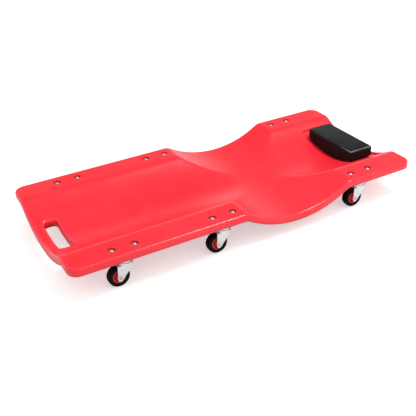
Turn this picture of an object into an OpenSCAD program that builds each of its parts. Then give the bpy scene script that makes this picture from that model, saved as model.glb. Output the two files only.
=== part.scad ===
// Low-profile mechanics creeper: a blow-moulded body board on six swivel casters,
// with a padded headrest at one end and a carrying slot at the other.
// +X runs to the head end, +Y to the user's left, +Z up. The floor is z = 0 and the
// origin is midway along the board.

/* [Board] */
// Overall length of the board
board_len = 914; // [850:1:1120]
// Overall width of the board
board_w = 421; // [370:1:520]
// Corner radius in plan
corner_r = 26; // [16:1:50]
// Depth of the board from its top skin to its bottom skin
board_t = 21; // [17:0.5:24]
// Round-over along the top and bottom edges
edge_r = 5; // [2:0.5:7]
// Width of the flat rail along each side
rail_w = 72; // [60:1:84]
// Depth of the body dish below the rails
dish_depth = 40; // [20:1:48]
// Depth of the arm scoop below the rails
scoop_depth = 43; // [20:1:52]
// Flat rail between the middle casters and the arm scoop
scoop_foot_gap = 7; // [0:0.5:30]
// Flat rail between the arm scoop and the head casters
scoop_head_gap = 11; // [0:0.5:30]
// Extra thickness of the board along the middle of the dish
belly = 2; // [0:0.5:6]

/* [Handle slot] */
// Length of the slot across the board
slot_len = 130; // [90:1:140]
// Width of the slot
slot_w = 31; // [24:1:36]
// From the foot end to the middle of the slot
slot_inset = 42; // [36:1:50]
// Corner radius of the slot
slot_corner = 10; // [5:0.5:11]

/* [Headrest] */
// Size along the board
rest_len = 73; // [60:1:90]
// Size across the board
rest_w = 182; // [150:1:220]
// Height of the pad above the rails
rest_rise = 3; // [0:0.5:12]
// From the head end to the near face of the pad
rest_inset = 29; // [24:1:34]
// Thickness of the curved base board
rest_board_t = 5; // [4:0.5:8]
// Thickness of the vinyl cover
cover_t = 1.2; // [0.8:0.1:2]
// Depth of the moulded recess that the headrest sits in
recess_depth = 4; // [2:0.5:5]
// Floor of the recess left open beyond each end of the headrest
recess_side = 24; // [8:1:30]
// Lip left between that recess and the head end
recess_lip = 14; // [9:1:20]
// Diameter of the headrest screws
rest_screw_d = 5; // [4:0.5:6]

/* [Caster places] */
// From the foot end to the foot kingpins
foot_inset = 131; // [110:1:150]
// From the foot kingpins to the middle kingpins
middle_gap = 244; // [200:1:300]
// From the head end to the head kingpins
head_inset = 146; // [130:0.5:160]
// From each side of the board to its kingpins
side_inset = 31.5; // [26:0.5:34]

/* [Casters] */
// Wheel diameter
wheel_d = 50; // [40:0.5:60]
// From the top of the wheel to the top of the mounting plate
swivel_h = 17.5; // [16.5:0.5:24]
// Tyre width
wheel_w = 18; // [14:0.5:21]
// Hub diameter, where the tyre seats
hub_d = 30; // [26:0.5:35]
// From the kingpin back to the axle
trail = 18.5; // [15:0.5:22]
// Width of the mounting plate
plate_w = 32; // [30:1:36]
// From each bolt to the end of the mounting plate
plate_end = 9.5; // [8:0.5:12]
// Thickness of the plate and fork steel
steel_t = 2.5; // [2:0.1:3]
// Distance between a caster's two bolts
bolt_gap = 53; // [45:1:64]
// Kingpin diameter
kingpin_d = 10; // [8:0.5:12]
// Bearing ball diameter
ball_d = 5; // [4:0.25:6]
// Diameter of the circle that the balls run on
race_d = 24; // [22:0.5:26]
// Number of balls in each race
ball_count = 12; // [8:1:12]
// Axle diameter
axle_d = 6; // [5:0.5:7]
// Outer diameter of the axle sleeve
sleeve_d = 9; // [8:0.5:10]

/* [Deck bolts] */
// Bolt diameter
bolt_d = 6; // [5:0.5:6]
// Diameter of the round bolt head
head_d = 11; // [9:0.5:13.5]
// Height of the bolt head
head_h = 3.2; // [2.5:0.1:4]
// Depth of the moulded recess round each head
well_depth = 5; // [5:0.5:8]
// How far the recess widens towards the rail
well_flare = 2.3; // [1:0.1:4]
// Thickness of the washer under each head
washer_t = 1; // [0.8:0.1:1.6]
// Height of the lock nut
nut_h = 5; // [4:0.5:5.5]

/* [Hidden] */
// Clearances
run_gap = 0.06;        // shaft in a bore that turns
turn_gap = 0.3;        // faces of pieces that turn past each other
slip_gap = 0.3;        // loose holes round bolts and screws
seat_gap = 0.3;        // headrest above its recess
foam_gap = 0.1;        // foam above its base board
screw_gap = 0.02;      // headrest screws in the base board

// Board heights and radii
pad_h = 4.5;           // caster pads below the board's bottom skin
pad_ramp = 5;          // sloping margin round each caster pad
pad_edge = 3;          // flat of the pad beyond the plate
pad_z = wheel_d + swivel_h;
skin_z = pad_z + pad_h;
rail_z = skin_z + board_t;
half_len = board_len / 2;
half_w = board_w / 2;
dish_half = half_w - rail_w;
dish_r = (dish_half * dish_half + dish_depth * dish_depth) / (2 * dish_depth);
dish_axis_z = rail_z - dish_depth + dish_r;
under_r = dish_r + board_t + belly;
under_half = sqrt(under_r * under_r - pow(dish_axis_z - skin_z, 2));
rail_blend = 7;        // softness where the dish and scoop meet the rails
crease_blend = 8;      // softness where the dish meets the scoop
recess_ramp = 3;       // slope round the headrest recess
recess_front = 6;      // recess on the foot side of the headrest

// Places along and across the board
foot_x = foot_inset - half_len;
middle_x = foot_x + middle_gap;
head_x = half_len - head_inset;
king_y = half_w - side_inset;
plate_len = bolt_gap + 2 * plate_end;
pad_len = plate_len / 2 + pad_edge;
pad_side = plate_w / 2 + pad_edge;
scoop_x0 = middle_x + pad_len + pad_ramp + scoop_foot_gap;
scoop_x1 = head_x - pad_len - pad_ramp - scoop_head_gap;
scoop_x = (scoop_x0 + scoop_x1) / 2;
scoop_half = (scoop_x1 - scoop_x0) / 2;
scoop_r = (scoop_half * scoop_half + scoop_depth * scoop_depth) / (2 * scoop_depth);
slot_x = slot_inset - half_len;
rest_x1 = half_len - rest_inset;
rest_x0 = rest_x1 - rest_len;
rest_x = (rest_x0 + rest_x1) / 2;
recess_x0 = rest_x0 - recess_front;
recess_x1 = half_len - recess_lip;
recess_y = rest_w / 2 + recess_side;
rest_axis_z = dish_axis_z - recess_depth + seat_gap;  // axis of the headrest's curved underside
rest_board_r = dish_r - rest_board_t;                // top of its base board
rest_top = rail_z + rest_rise;

// Caster levels, from the pad down
axle_z = wheel_d / 2;
plate_z = pad_z - steel_t;
fork_side = wheel_w / 2 + 2;                         // inner face of each fork leg
leg_t = 2.2;
crown_gap = 2.5;                                     // wheel top to crown
crown_z = wheel_d + crown_gap;
crown_top = crown_z + steel_t;
crown_r = fork_side + leg_t + 4.3;
crown_back = trail + 3.5;
ball_z = crown_top + 0.9 * ball_d / 2;
boss_z = ball_z + 0.9 * ball_d / 2;
boss_r = plate_w / 2;
rivet_h = 1.9;
kingpin_r = kingpin_d / 2;
bolt_r = bolt_d / 2;
well_floor = rail_z - well_depth;
head_r = head_d / 2;
well_r = head_r + 1.2;

// Name and place of each caster's kingpin
CASTERS = [
  ["foot_left", foot_x, king_y],
  ["foot_right", foot_x, -king_y],
  ["middle_left", middle_x, king_y],
  ["middle_right", middle_x, -king_y],
  ["head_left", head_x, king_y],
  ["head_right", head_x, -king_y]
];

$fn = 48;

// ---- Shape of the board -------------------------------------------------------

function clamp(v, low, high) = max(low, min(high, v));

// The lower of two heights, with a soft corner c high where they cross
function soft_min(a, b, c) =
  let (h = max(c - abs(a - b), 0) / c)
  min(a, b) - h * h * h * c / 6;

// Trough along the board that the user lies in
function dish(y) = dish_axis_z - sqrt(max(0, dish_r * dish_r - y * y));

// Trough across the board that the arms reach through
function scoop(x) =
  let (d = x - scoop_x)
  rail_z - scoop_depth + scoop_r - sqrt(max(0, scoop_r * scoop_r - d * d));

function body_z(x, y) =
  soft_min(rail_z, soft_min(dish(y), scoop(x), crease_blend), rail_blend);

// Bottom skin: round the dish's own axis, and level with the scoop and the rails
function under_dish(y) = dish_axis_z - sqrt(max(0, under_r * under_r - y * y));

function under_z(x, y) =
  soft_min(skin_z, soft_min(under_dish(y), scoop(x) - board_t, crease_blend), rail_blend);

// 1 inside low..high, 0 outside, sloping over ramp beyond each end
function plateau(v, low, high, ramp) =
  clamp((v - low) / ramp + 1, 0, 1) * clamp((high - v) / ramp + 1, 0, 1);

function recess(x, y) =
  recess_depth * plateau(x, recess_x0, recess_x1, recess_ramp)
  * plateau(y, -recess_y, recess_y, recess_ramp);

function pad(x, y) =
  max([for (k = [foot_x, middle_x, head_x]) plateau(x, k - pad_len, k + pad_len, pad_ramp)])
  * plateau(abs(y), king_y - pad_side, king_y + pad_side, pad_ramp);

// Distance in from the rounded outline
function inset(x, y) =
  let (qx = abs(x) - half_len + corner_r, qy = abs(y) - half_w + corner_r)
  corner_r - norm([max(qx, 0), max(qy, 0)]) - min(max(qx, qy), 0);

function edge_drop(d) = d >= edge_r ? 0 : edge_r - sqrt(edge_r * edge_r - pow(edge_r - max(d, 0), 2));

function top_z(x, y) = body_z(x, y) - recess(x, y) - edge_drop(inset(x, y));

function bottom_z(x, y) =
  let (skin = under_z(x, y), f = pad(x, y))
  skin + (min(skin, pad_z) - skin) * f + edge_drop(inset(x, y));

// ---- Net of points over the board ----------------------------------------------

// Sorted copy of a list
function sorted(v) =
  len(v) <= 1 ? v :
  let (pivot = v[floor(len(v) / 2)])
  concat(
    sorted([for (a = v) if (a < pivot) a]),
    [for (a = v) if (a == pivot) a],
    sorted([for (a = v) if (a > pivot) a]));

// Sorted copy without lines closer than least, and with gaps over most divided
function spaced(v, least, most) =
  let (s = sorted(v), kept = [for (i = [0:len(s) - 1]) if (i == 0 || s[i] - s[i - 1] >= least) s[i]])
  [for (i = [0:len(kept) - 1])
    if (i == 0) kept[0]
    else let (gap = kept[i] - kept[i - 1], n = ceil(gap / most))
      for (j = [1:n]) kept[i - 1] + gap * j / n];

net_gap_x = 26;
net_gap_y = 17;
net_least = 1.2;
edge_lines = [0, 0.3 * edge_r, edge_r];
corner_lines = [0.45 * corner_r, corner_r];

end_lines = [for (d = concat(edge_lines, corner_lines)) half_len - d];
pad_lines = [for (k = [foot_x, middle_x, head_x])
  for (d = [pad_len, pad_len + pad_ramp]) for (s = [-1, 1]) k + s * d];
recess_lines = [recess_x0 - recess_ramp, recess_x0, recess_x1, recess_x1 + recess_ramp];
net_x = spaced(concat(-end_lines, end_lines, pad_lines, recess_lines), net_least, net_gap_x);

// Lines across the board, short of the edge round-over
side_lines = [0, dish_half - 12, dish_half, under_half, recess_y, recess_y + recess_ramp,
  king_y - pad_side - pad_ramp, king_y - pad_side, king_y + pad_side, half_w - edge_r];
half_net_y = spaced(side_lines, net_least, net_gap_y);
inner_y = concat([for (i = [len(half_net_y) - 1:-1:1]) -half_net_y[i]], half_net_y);

// Half the board's width at x
function side_at(x) =
  let (d = max(0, abs(x) - half_len + corner_r))
  half_w - corner_r + sqrt(max(0, corner_r * corner_r - d * d));

// The points of one cross-section, side to side
function row_y(x) =
  let (side = side_at(x), scale_y = (side - edge_r) / (half_w - edge_r))
  concat(
    [-side, 0.3 * edge_r - side],
    [for (y = inner_y) y * scale_y],
    [side - 0.3 * edge_r, side]);

module board_solid() {
  cols = len(inner_y) + 4;
  rows = len(net_x);
  count = rows * cols;
  top = [for (x = net_x) for (y = row_y(x)) [x, y, top_z(x, y)]];
  bottom = [for (x = net_x) for (y = row_y(x)) [x, y, bottom_z(x, y)]];
  rim = concat(
    [for (j = [0:cols - 1]) j],
    [for (i = [1:rows - 1]) i * cols + cols - 1],
    [for (j = [cols - 2:-1:0]) (rows - 1) * cols + j],
    [for (i = [rows - 2:-1:1]) i * cols]);
  faces = concat(
    [for (i = [0:rows - 2]) for (j = [0:cols - 2])
      let (a = i * cols + j, b = a + cols)
      each [[a, a + 1, b + 1], [a, b + 1, b]]],
    [for (i = [0:rows - 2]) for (j = [0:cols - 2])
      let (a = count + i * cols + j, b = a + cols)
      each [[a, b + 1, a + 1], [a, b, b + 1]]],
    [for (i = [0:len(rim) - 1])
      let (a = rim[i], b = rim[(i + 1) % len(rim)])
      each [[a, a + count, b + count], [a, b + count, b]]]);
  polyhedron(points = concat(top, bottom), faces = faces, convexity = 6);
}

// ---- Board and headrest --------------------------------------------------------

// A slab with rounded corners, lying across the board
module rounded_slab(length, width, corner, height) {
  translate([-width / 2, corner - length / 2, 0]) cube([width, length - 2 * corner, height]);
  translate([corner - width / 2, -length / 2, 0]) cube([width - 2 * corner, length, height]);
  for (sx = [-1, 1]) for (sy = [-1, 1])
    translate([sx * (width / 2 - corner), sy * (length / 2 - corner), 0]) cylinder(h = height, r = corner);
}

// The same, with fully round ends
module rounded_bar(length, width, height) {
  straight = length - width;
  translate([-width / 2, -straight / 2, 0]) cube([width, straight, height]);
  for (s = [-1, 1])
    translate([0, s * straight / 2, 0]) cylinder(h = height, d = width);
}

module at_casters() {
  for (c = CASTERS)
    translate([c[1], c[2], 0]) children();
}

module at_bolts() {
  at_casters()
    for (s = [-1, 1])
      translate([s * bolt_gap / 2, 0, 0]) children();
}

rest_screw_x = rest_len / 4;
rest_screw_y = rest_w / 4;
rest_screw_r = rest_screw_d / 2;
rest_head_d = 11;
rest_head_h = 3;
screw_floor = bottom_z(rest_x, rest_screw_y) + 6;    // seat of the screw heads

module at_rest_screws() {
  for (sx = [-1, 1]) for (sy = [-1, 1])
    translate([rest_x + sx * rest_screw_x, sy * rest_screw_y, 0]) children();
}

module deck() {
  color("crimson")
  difference() {
    board_solid();
    translate([slot_x, 0, 0]) rounded_slab(slot_len, slot_w, slot_corner, rail_z + 10);
    at_bolts() {
      cylinder(h = rail_z + 1, r = bolt_r + slip_gap);
      translate([0, 0, well_floor]) cylinder(h = well_depth, r1 = well_r, r2 = well_r + well_flare);
    }
    at_casters()
      translate([0, 0, pad_z - 1]) cylinder(h = rivet_h + 3, r = kingpin_r + 5);
    at_rest_screws() {
      cylinder(h = rail_z, r = rest_screw_r + slip_gap);
      cylinder(h = screw_floor, d = rest_head_d + 2);
    }
  }
}

// A horizontal cylinder along the headrest, about the axis of its curved underside
module rest_bow(r) {
  translate([rest_x0 - 1, 0, rest_axis_z]) rotate([0, 90, 0]) cylinder(h = rest_len + 2, r = r, $fn = 180);
}

// The headrest's block, smaller than its outside by shrink, and bowed below
module rest_block(shrink, under_r) {
  foot_z = rest_axis_z - dish_r;
  intersection() {
    translate([rest_x0 + shrink, shrink - rest_w / 2, foot_z])
      cube([rest_len - 2 * shrink, rest_w - 2 * shrink, rest_top - shrink - foot_z]);
    rest_bow(under_r);
  }
}

module headrest_cover() {
  color([0.12, 0.12, 0.13])
  difference() {
    rest_block(0, dish_r);
    rest_block(cover_t, dish_r + 1);
  }
}

module headrest_foam() {
  color("khaki")
  rest_block(cover_t, rest_board_r - foam_gap);
}

module headrest_board() {
  color("burlywood")
  difference() {
    rest_block(cover_t, dish_r);
    rest_bow(rest_board_r);
    at_rest_screws() cylinder(h = rail_z, r = rest_screw_r + screw_gap);
  }
}

module headrest_screws() {
  bite_z = rest_axis_z - sqrt(rest_board_r * rest_board_r - rest_screw_y * rest_screw_y) - 1.5;
  color("silver")
  at_rest_screws() {
    translate([0, 0, screw_floor]) cylinder(h = bite_z - screw_floor, r = rest_screw_r);
    difference() {
      translate([0, 0, screw_floor - rest_head_h]) cylinder(h = rest_head_h, d1 = rest_head_d - 3, d2 = rest_head_d);
      translate([0, 0, screw_floor - rest_head_h - 1]) cross_recess(rest_head_d / 2, 2.5);
    }
  }
}

// ---- Fasteners through the rails ------------------------------------------------

module cross_recess(span, depth) {
  bar = 1.3;
  for (turn = [0, 90])
    rotate([0, 0, turn]) translate([-span / 2, -bar / 2, 0]) cube([span, bar, depth]);
}

module deck_bolts() {
  head_z = well_floor + washer_t;
  dome_r = (head_r * head_r + head_h * head_h) / (2 * head_h);
  color("gainsboro")
  at_bolts() {
    translate([0, 0, plate_z - nut_h - 1]) cylinder(h = head_z - plate_z + nut_h + 1, r = bolt_r - 0.05);
    difference() {
      intersection() {
        translate([0, 0, head_z]) cylinder(h = head_h, r = head_r);
        translate([0, 0, head_z + head_h - dome_r]) sphere(r = dome_r);
      }
      translate([0, 0, head_z + head_h - 1.6]) cross_recess(head_d / 2, 3);
    }
  }
}

module bolt_washers() {
  color("silver")
  at_bolts()
    difference() {
      translate([0, 0, well_floor]) cylinder(h = washer_t, r = head_r + 0.8);
      cylinder(h = rail_z, r = bolt_r + slip_gap);
    }
}

module lock_nuts() {
  collar_h = 1.2;
  color("silver")
  at_bolts()
    difference() {
      union() {
        translate([0, 0, plate_z - nut_h + collar_h]) cylinder(h = nut_h - collar_h, d = 2 * bolt_d - 0.5, $fn = 6);
        translate([0, 0, plate_z - nut_h]) cylinder(h = collar_h, d = 1.5 * bolt_d);
      }
      cylinder(h = rail_z, r = bolt_r);
    }
}

// ---- One caster, with its kingpin on the Z axis and its wheel behind it -----------

module ball_groove(groove_r) {
  translate([0, 0, ball_z]) rotate_extrude() translate([race_d / 2, 0]) circle(r = groove_r);
}

module caster_plate() {
  difference() {
    union() {
      translate([0, 0, plate_z]) rotate([0, 0, 90]) rounded_bar(plate_len, plate_w, steel_t);
      translate([0, 0, boss_z]) cylinder(h = pad_z - boss_z, r = boss_r);
    }
    cylinder(h = rail_z, r = kingpin_r);
    for (s = [-1, 1])
      translate([s * bolt_gap / 2, 0, 0]) cylinder(h = rail_z, r = bolt_r + slip_gap);
    ball_groove(ball_d / 2 + 0.1);
  }
}

module kingpin() {
  rivet_r = kingpin_r + 2.6;
  translate([0, 0, crown_z - turn_gap - rivet_h]) cylinder(h = pad_z - crown_z + turn_gap + 2 * rivet_h, r = kingpin_r);
  translate([0, 0, crown_z - turn_gap - rivet_h]) cylinder(h = rivet_h, r1 = rivet_r - 1.2, r2 = rivet_r);
  translate([0, 0, pad_z]) cylinder(h = rivet_h, r1 = rivet_r, r2 = rivet_r - 1.2);
}

module balls() {
  for (i = [0:ball_count - 1])
    rotate([0, 0, i * 360 / ball_count]) translate([race_d / 2, 0, ball_z]) sphere(d = ball_d);
}

// Side view of a fork leg: x along the board, y up
module leg_profile() {
  tip_r = 6;
  tip = [0.7 - trail, axle_z - 3.6];
  elbow = [4.6, axle_z + 14.5];
  front = sqrt(crown_r * crown_r - pow(fork_side + leg_t, 2));
  slope = atan2(elbow[1] - tip[1] + 4, elbow[0] - tip[0] - 5);
  translate(tip) circle(r = tip_r);
  polygon([
    [-crown_back, crown_top],
    [tip[0] - tip_r, tip[1]],
    tip,
    tip + tip_r * [sin(slope), -cos(slope)],
    elbow,
    [front, crown_z],
    [front, crown_top]
  ]);
}

module fork() {
  outer = fork_side + leg_t;
  difference() {
    union() {
      translate([0, 0, crown_z]) cylinder(h = steel_t, r = crown_r);
      translate([-crown_back, -outer, crown_z]) cube([crown_back, 2 * outer, steel_t]);
      for (y = [-fork_side, outer])
        translate([0, y, 0]) rotate([90, 0, 0]) linear_extrude(leg_t) leg_profile();
    }
    cylinder(h = rail_z, r = kingpin_r + run_gap);
    ball_groove(ball_d / 2 + turn_gap);
    translate([-trail, 0, axle_z]) rotate([90, 0, 0])
      cylinder(h = 4 * outer, r = axle_d / 2, center = true);
  }
}

module axle() {
  outer = fork_side + leg_t;
  rivet = 1.5;
  translate([-trail, 0, axle_z]) rotate([90, 0, 0])
  difference() {
    union() {
      cylinder(h = 2 * (outer + rivet), r = axle_d / 2, center = true);
      for (s = [-1, 1])
        translate([0, 0, s * (outer + rivet / 2)]) cylinder(h = rivet, r = axle_d / 2 + 1.6, center = true);
    }
    for (s = [-1, 1])
      translate([0, 0, s * (outer + rivet)]) cylinder(h = 1.6, r = axle_d / 2 - 0.8, center = true);
  }
}

module sleeve() {
  translate([-trail, 0, axle_z]) rotate([90, 0, 0])
  difference() {
    cylinder(h = 2 * fork_side, d = sleeve_d, center = true);
    cylinder(h = 3 * fork_side, r = axle_d / 2, center = true);
  }
}

module hub() {
  bore_r = sleeve_d / 2 + run_gap;
  boss = fork_side - turn_gap;
  boss_r = bore_r + 3;
  rim = wheel_w / 2 - 1;
  web = 3;
  hub_r = hub_d / 2;
  half = [[bore_r, boss], [boss_r, boss], [boss_r + 0.8, web + 1], [hub_r - 3.4, web],
    [hub_r - 2.6, rim - 0.4], [hub_r - 2.2, rim], [hub_r, rim]];
  other = [for (i = [len(half) - 1:-1:0]) [half[i][0], -half[i][1]]];
  translate([-trail, 0, axle_z]) rotate([90, 0, 0])
    rotate_extrude($fn = 96) polygon(concat(half, other));
}

module tyre() {
  wall = wheel_w / 2;
  tread_r = wheel_d / 2;
  hub_r = hub_d / 2;
  shoulder = min(3, (tread_r - hub_r) / 2);
  round_steps = 4;
  half = concat(
    [[hub_r, wall - 1], [hub_r + 1.2, wall - 1], [hub_r + 2.4, wall]],
    [for (i = [0:round_steps])
      let (a = 90 * i / round_steps)
      [tread_r - 0.5 - shoulder * (1 - sin(a)), wall - shoulder * (1 - cos(a))]],
    [[tread_r, 0]]);
  other = [for (i = [len(half) - 2:-1:0]) [half[i][0], -half[i][1]]];
  translate([-trail, 0, axle_z]) rotate([90, 0, 0])
    rotate_extrude($fn = 96) polygon(concat(half, other));
}

module caster_piece(piece) {
  if (piece == "plate") color("silver") caster_plate();
  if (piece == "kingpin") color("gray") kingpin();
  if (piece == "balls") color("lightgray") balls();
  if (piece == "fork") color("gainsboro") fork();
  if (piece == "axle") color("gray") axle();
  if (piece == "sleeve") color("silver") sleeve();
  if (piece == "hub") color("red") hub();
  if (piece == "tyre") color([0.09, 0.09, 0.09]) tyre();
}

deck();
headrest_cover();
headrest_foam();
headrest_board();
headrest_screws();
deck_bolts();
bolt_washers();
lock_nuts();
for (c = CASTERS) for (piece = ["plate", "kingpin", "balls", "fork", "axle", "sleeve", "hub", "tyre"])
  translate([c[1], c[2], 0]) caster_piece(piece);
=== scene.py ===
import math

import bmesh
import bpy
import numpy as np
from bpy.props import FloatProperty, FloatVectorProperty, IntProperty, PointerProperty
from mathutils import Matrix, Vector
from mathutils.geometry import delaunay_2d_cdt
from mathutils.kdtree import KDTree


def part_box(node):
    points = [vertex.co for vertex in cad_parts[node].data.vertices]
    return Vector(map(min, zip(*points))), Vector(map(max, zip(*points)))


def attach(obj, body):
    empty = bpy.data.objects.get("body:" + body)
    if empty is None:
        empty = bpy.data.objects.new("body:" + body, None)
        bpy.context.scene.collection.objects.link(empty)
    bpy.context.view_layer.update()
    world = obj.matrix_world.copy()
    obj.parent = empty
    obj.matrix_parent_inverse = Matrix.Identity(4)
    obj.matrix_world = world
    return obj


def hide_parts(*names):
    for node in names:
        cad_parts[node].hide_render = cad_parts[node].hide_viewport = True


bl_info = {
    "name": "Mechanics Creeper",
    "version": (1, 0, 0),
    "blender": (4, 5, 0),
    "location": "3D View > Sidebar > Creeper",
    "description": "Builds the visible surfaces of a mechanics creeper on its packed frame",
    "category": "Object",
}

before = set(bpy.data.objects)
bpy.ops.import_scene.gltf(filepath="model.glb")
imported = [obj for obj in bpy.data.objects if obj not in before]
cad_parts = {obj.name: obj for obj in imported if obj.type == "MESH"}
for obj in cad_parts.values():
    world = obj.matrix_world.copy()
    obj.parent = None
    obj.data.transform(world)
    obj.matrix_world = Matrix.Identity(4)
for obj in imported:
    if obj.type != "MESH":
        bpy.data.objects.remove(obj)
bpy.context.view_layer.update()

ENDS = ("foot", "middle", "head")
CASTERS = [f"{end}_{side}" for end in ENDS for side in ("left", "right")]


def centre(node):
    """The middle of a node's box."""
    low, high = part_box(node)
    return (low + high) / 2


def halves(node):
    """Half of a node's size along each axis."""
    low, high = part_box(node)
    return (high - low) / 2


DECK_LOW, DECK_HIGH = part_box("deck")
HALF_LENGTH, HALF_WIDTH = halves("deck").xy
RAIL_Z = DECK_HIGH.z
KINGPINS = {name: centre(f"{name}_kingpin") for name in CASTERS}
PLATE_HALF_LENGTH, PLATE_HALF_WIDTH = halves("foot_left_plate").xy
PLATE_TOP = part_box("foot_left_plate")[1].z
REST_LOW, REST_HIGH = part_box("headrest_cover")
FORK_LOW, FORK_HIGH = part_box("foot_left_fork")

# Board
FLASH = 0.00025  # how far the moulding's parting line stands proud of its edge
EDGE_COUNTS = (150, 66, 9)  # points along the board, across it and round a corner
PAD_EDGE = 0.003  # flat of a caster pad beyond its plate
CAD_PAD_RAMP = 0.005  # sloping margin of a caster pad in the construction
PAD_RAMP = 0.0035  # the same, as it shows
PAD_CORNER = 0.008
RECESS_RAMP = 0.003
RECESS_FRONT = 0.006
RECESS_CORNER = 0.009
WELL_CLEAR = 0.0012  # floor of a well beyond the bolt's head
WELL_RIM = 0.0008
HOLE_RADIUS = 0.0033
POCKET = (0.022, 0.008, 0.0079)  # half sizes and corner of a pocket on the underside
POCKET_DEPTH = 0.0035
POCKET_RAMP = 0.004
SCREW_WELL = (0.0065, 0.0068)  # radius and depth round each headrest screw
SCREW_HOLE = 0.0028
RIVET_WELL = (0.010, 0.0039)  # radius and depth over each kingpin's rivet

# Headrest
BASE_INSET = 0.007  # base board, in from the cover
HEM = 0.0003  # cover, in from the outside of the construction
CRISP = 1.22  # over 1 draws the filled cover out into firmer edges
EDGE_BAND = 0.0028  # width of the band along the cover's top edges where a highlight is painted
HELD_HEIGHT = 0.004  # the cover is fixed this far up from its base
CLOTH_FRAMES = 20

# Casters
DIMPLE = 0.0022  # radius of the hollow in each end of an axle rivet
FORK_TIP = 0.006  # radius of the tip of a fork's leg
LEG_CLEAR = 0.0025  # from the hub's face to the outside of a leg
RACE_LIP = 0.0043  # lip of the crown's race above the crown
BORE_CLEAR = 0.00006  # hub round its sleeve
RIB_COUNT = 6

# Stage
FLOOR_HALF = 9.0
CAMERA_PLACE = (-0.7406, -1.3613, 0.9050)
CAMERA_ANGLES = (-27.76, 30.40, -2.54)  # degrees: turned from +Y, tipped down, rolled
CAMERA_LENS = 60.38
LAMP_TARGET = (0, 0, 0.05)


# ---- Sizes and colours that a user may change ---------------------------------


def length(name, description, default, **limits):
    """A size in metres, shown in the scene's units."""
    return FloatProperty(
        name=name, description=description, default=default, unit="LENGTH", precision=4, **limits
    )


def colour(name, description, default):
    """A colour without alpha."""
    return FloatVectorProperty(
        name=name, description=description, default=default, subtype="COLOR", size=3, min=0, max=1
    )


class BoardSettings(bpy.types.PropertyGroup):
    """The moulded board."""

    thickness: length("Thickness", "From the top skin to the bottom skin", 0.021)
    belly: length("Belly", "Extra thickness along the middle of the dish", 0.002)
    edge_radius: length("Edge Radius", "Round-over along the edges", 0.005)
    corner_radius: length("Corner Radius", "Radius of the corners in plan", 0.026)
    rail_width: length("Rail Width", "Width of the flat rail on each side", 0.072)
    dish_depth: length("Dish Depth", "Depth of the body dish below the rails", 0.040)
    scoop_depth: length("Scoop Depth", "Depth of the arm scoop below the rails", 0.043)
    scoop_foot_gap: length("Scoop Foot Gap", "Rail between middle casters and scoop", 0.007)
    scoop_head_gap: length("Scoop Head Gap", "Rail between scoop and head casters", 0.011)
    rail_softness: length("Rail Softness", "Soft corner between rails and dish", 0.007)
    crease_softness: length("Crease Softness", "Soft corner between dish and scoop", 0.008)
    slot_width: length("Slot Width", "Width of the carrying slot", 0.031)
    slot_length: length("Slot Length", "Length of the carrying slot", 0.130)
    slot_corner: length("Slot Corner", "Corner radius of the carrying slot", 0.010)
    slot_inset: length("Slot Inset", "From the foot end to the middle of the slot", 0.042)
    slot_rim: length("Slot Rim", "Round-over of the slot's rim", 0.007)
    recess_depth: length("Recess Depth", "Depth of the recess under the headrest", 0.004)
    recess_side: length("Recess Side", "Recess left open beyond the headrest", 0.024)
    recess_lip: length("Recess Lip", "Lip between the recess and the head end", 0.014)
    fineness: length("Fineness", "Spacing of the mesh on the top skin", 0.0045, min=0.003)
    colour: colour("Colour", "Colour of the plastic", (0.87, 0.015, 0.028))


class HeadrestSettings(bpy.types.PropertyGroup):
    """The padded headrest."""

    slack: length("Slack", "How much smaller the pad starts before it fills out", 0.0015)
    swell: length("Swell", "The furthest that the filled cover may move", 0.008)
    pressure: FloatProperty(name="Pressure", description="Filling pressure", default=4.0)
    voxel: length("Voxel", "Spacing of the cover's mesh", 0.0042)
    base_thickness: length("Base Thickness", "Thickness of the base board inside", 0.005)
    colour: colour("Colour", "Colour of the vinyl cover", (0.012, 0.012, 0.0125))


class FastenerSettings(bpy.types.PropertyGroup):
    """Bolts, washers and nuts."""

    head_radius: length("Head Radius", "Radius of a bolt's round head", 0.0055)
    head_height: length("Head Height", "Height of a bolt's round head", 0.0032)
    shaft_radius: length("Shaft Radius", "Radius of the bolts", 0.003)
    well_depth: length("Well Depth", "Depth of the moulded well round each bolt", 0.005)
    well_flare: length("Well Flare", "How far a well widens towards the rail", 0.0023)
    plate_end: length("Plate End", "From a bolt to the end of its mounting plate", 0.0095)
    colour: colour("Colour", "Colour of the plated steel", (0.90, 0.91, 0.92))


class CasterSettings(bpy.types.PropertyGroup):
    """The six swivel casters."""

    sheet: length("Sheet", "Thickness of the pressed steel", 0.0023)
    bend_radius: length("Bend Radius", "Outer radius where crown turns into leg", 0.0036)
    ball_count: IntProperty(name="Ball Count", description="Balls in each race", default=12)
    zinc_colour: colour("Zinc Colour", "Colour of the plated forks", (0.86, 0.91, 0.94))
    hub_colour: colour("Hub Colour", "Colour of the hubs", (0.80, 0.018, 0.026))
    tyre_colour: colour("Tyre Colour", "Colour of the tread", (0.0020, 0.0030, 0.0026))
    wall_colour: colour("Wall Colour", "Colour of the tyre's side wall", (0.005, 0.0085, 0.007))


class StageSettings(bpy.types.PropertyGroup):
    """Camera, lamps and floor."""

    key_power: FloatProperty(name="Key Power", description="Power of the lamp above", default=33)
    strip_power: FloatProperty(name="Strip Power", description="Power of the long lamp", default=5)
    sky_strength: FloatProperty(name="Sky Strength", description="Light all round", default=0.95)
    sky_mirrored: FloatProperty(name="Sky Mirrored", description="The same, in gloss", default=0.08)
    haze_mirrored: FloatProperty(name="Haze Mirrored", description="Low sky in gloss", default=0.85)
    floor_colour: colour("Floor Colour", "Colour of the floor", (0.72, 0.72, 0.72))
    floor_glow: FloatProperty(name="Floor Glow", description="Lifts it to white", default=0.5)


SETTINGS = {
    "creeper_board": BoardSettings,
    "creeper_headrest": HeadrestSettings,
    "creeper_fasteners": FastenerSettings,
    "creeper_casters": CasterSettings,
    "creeper_stage": StageSettings,
}


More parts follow.
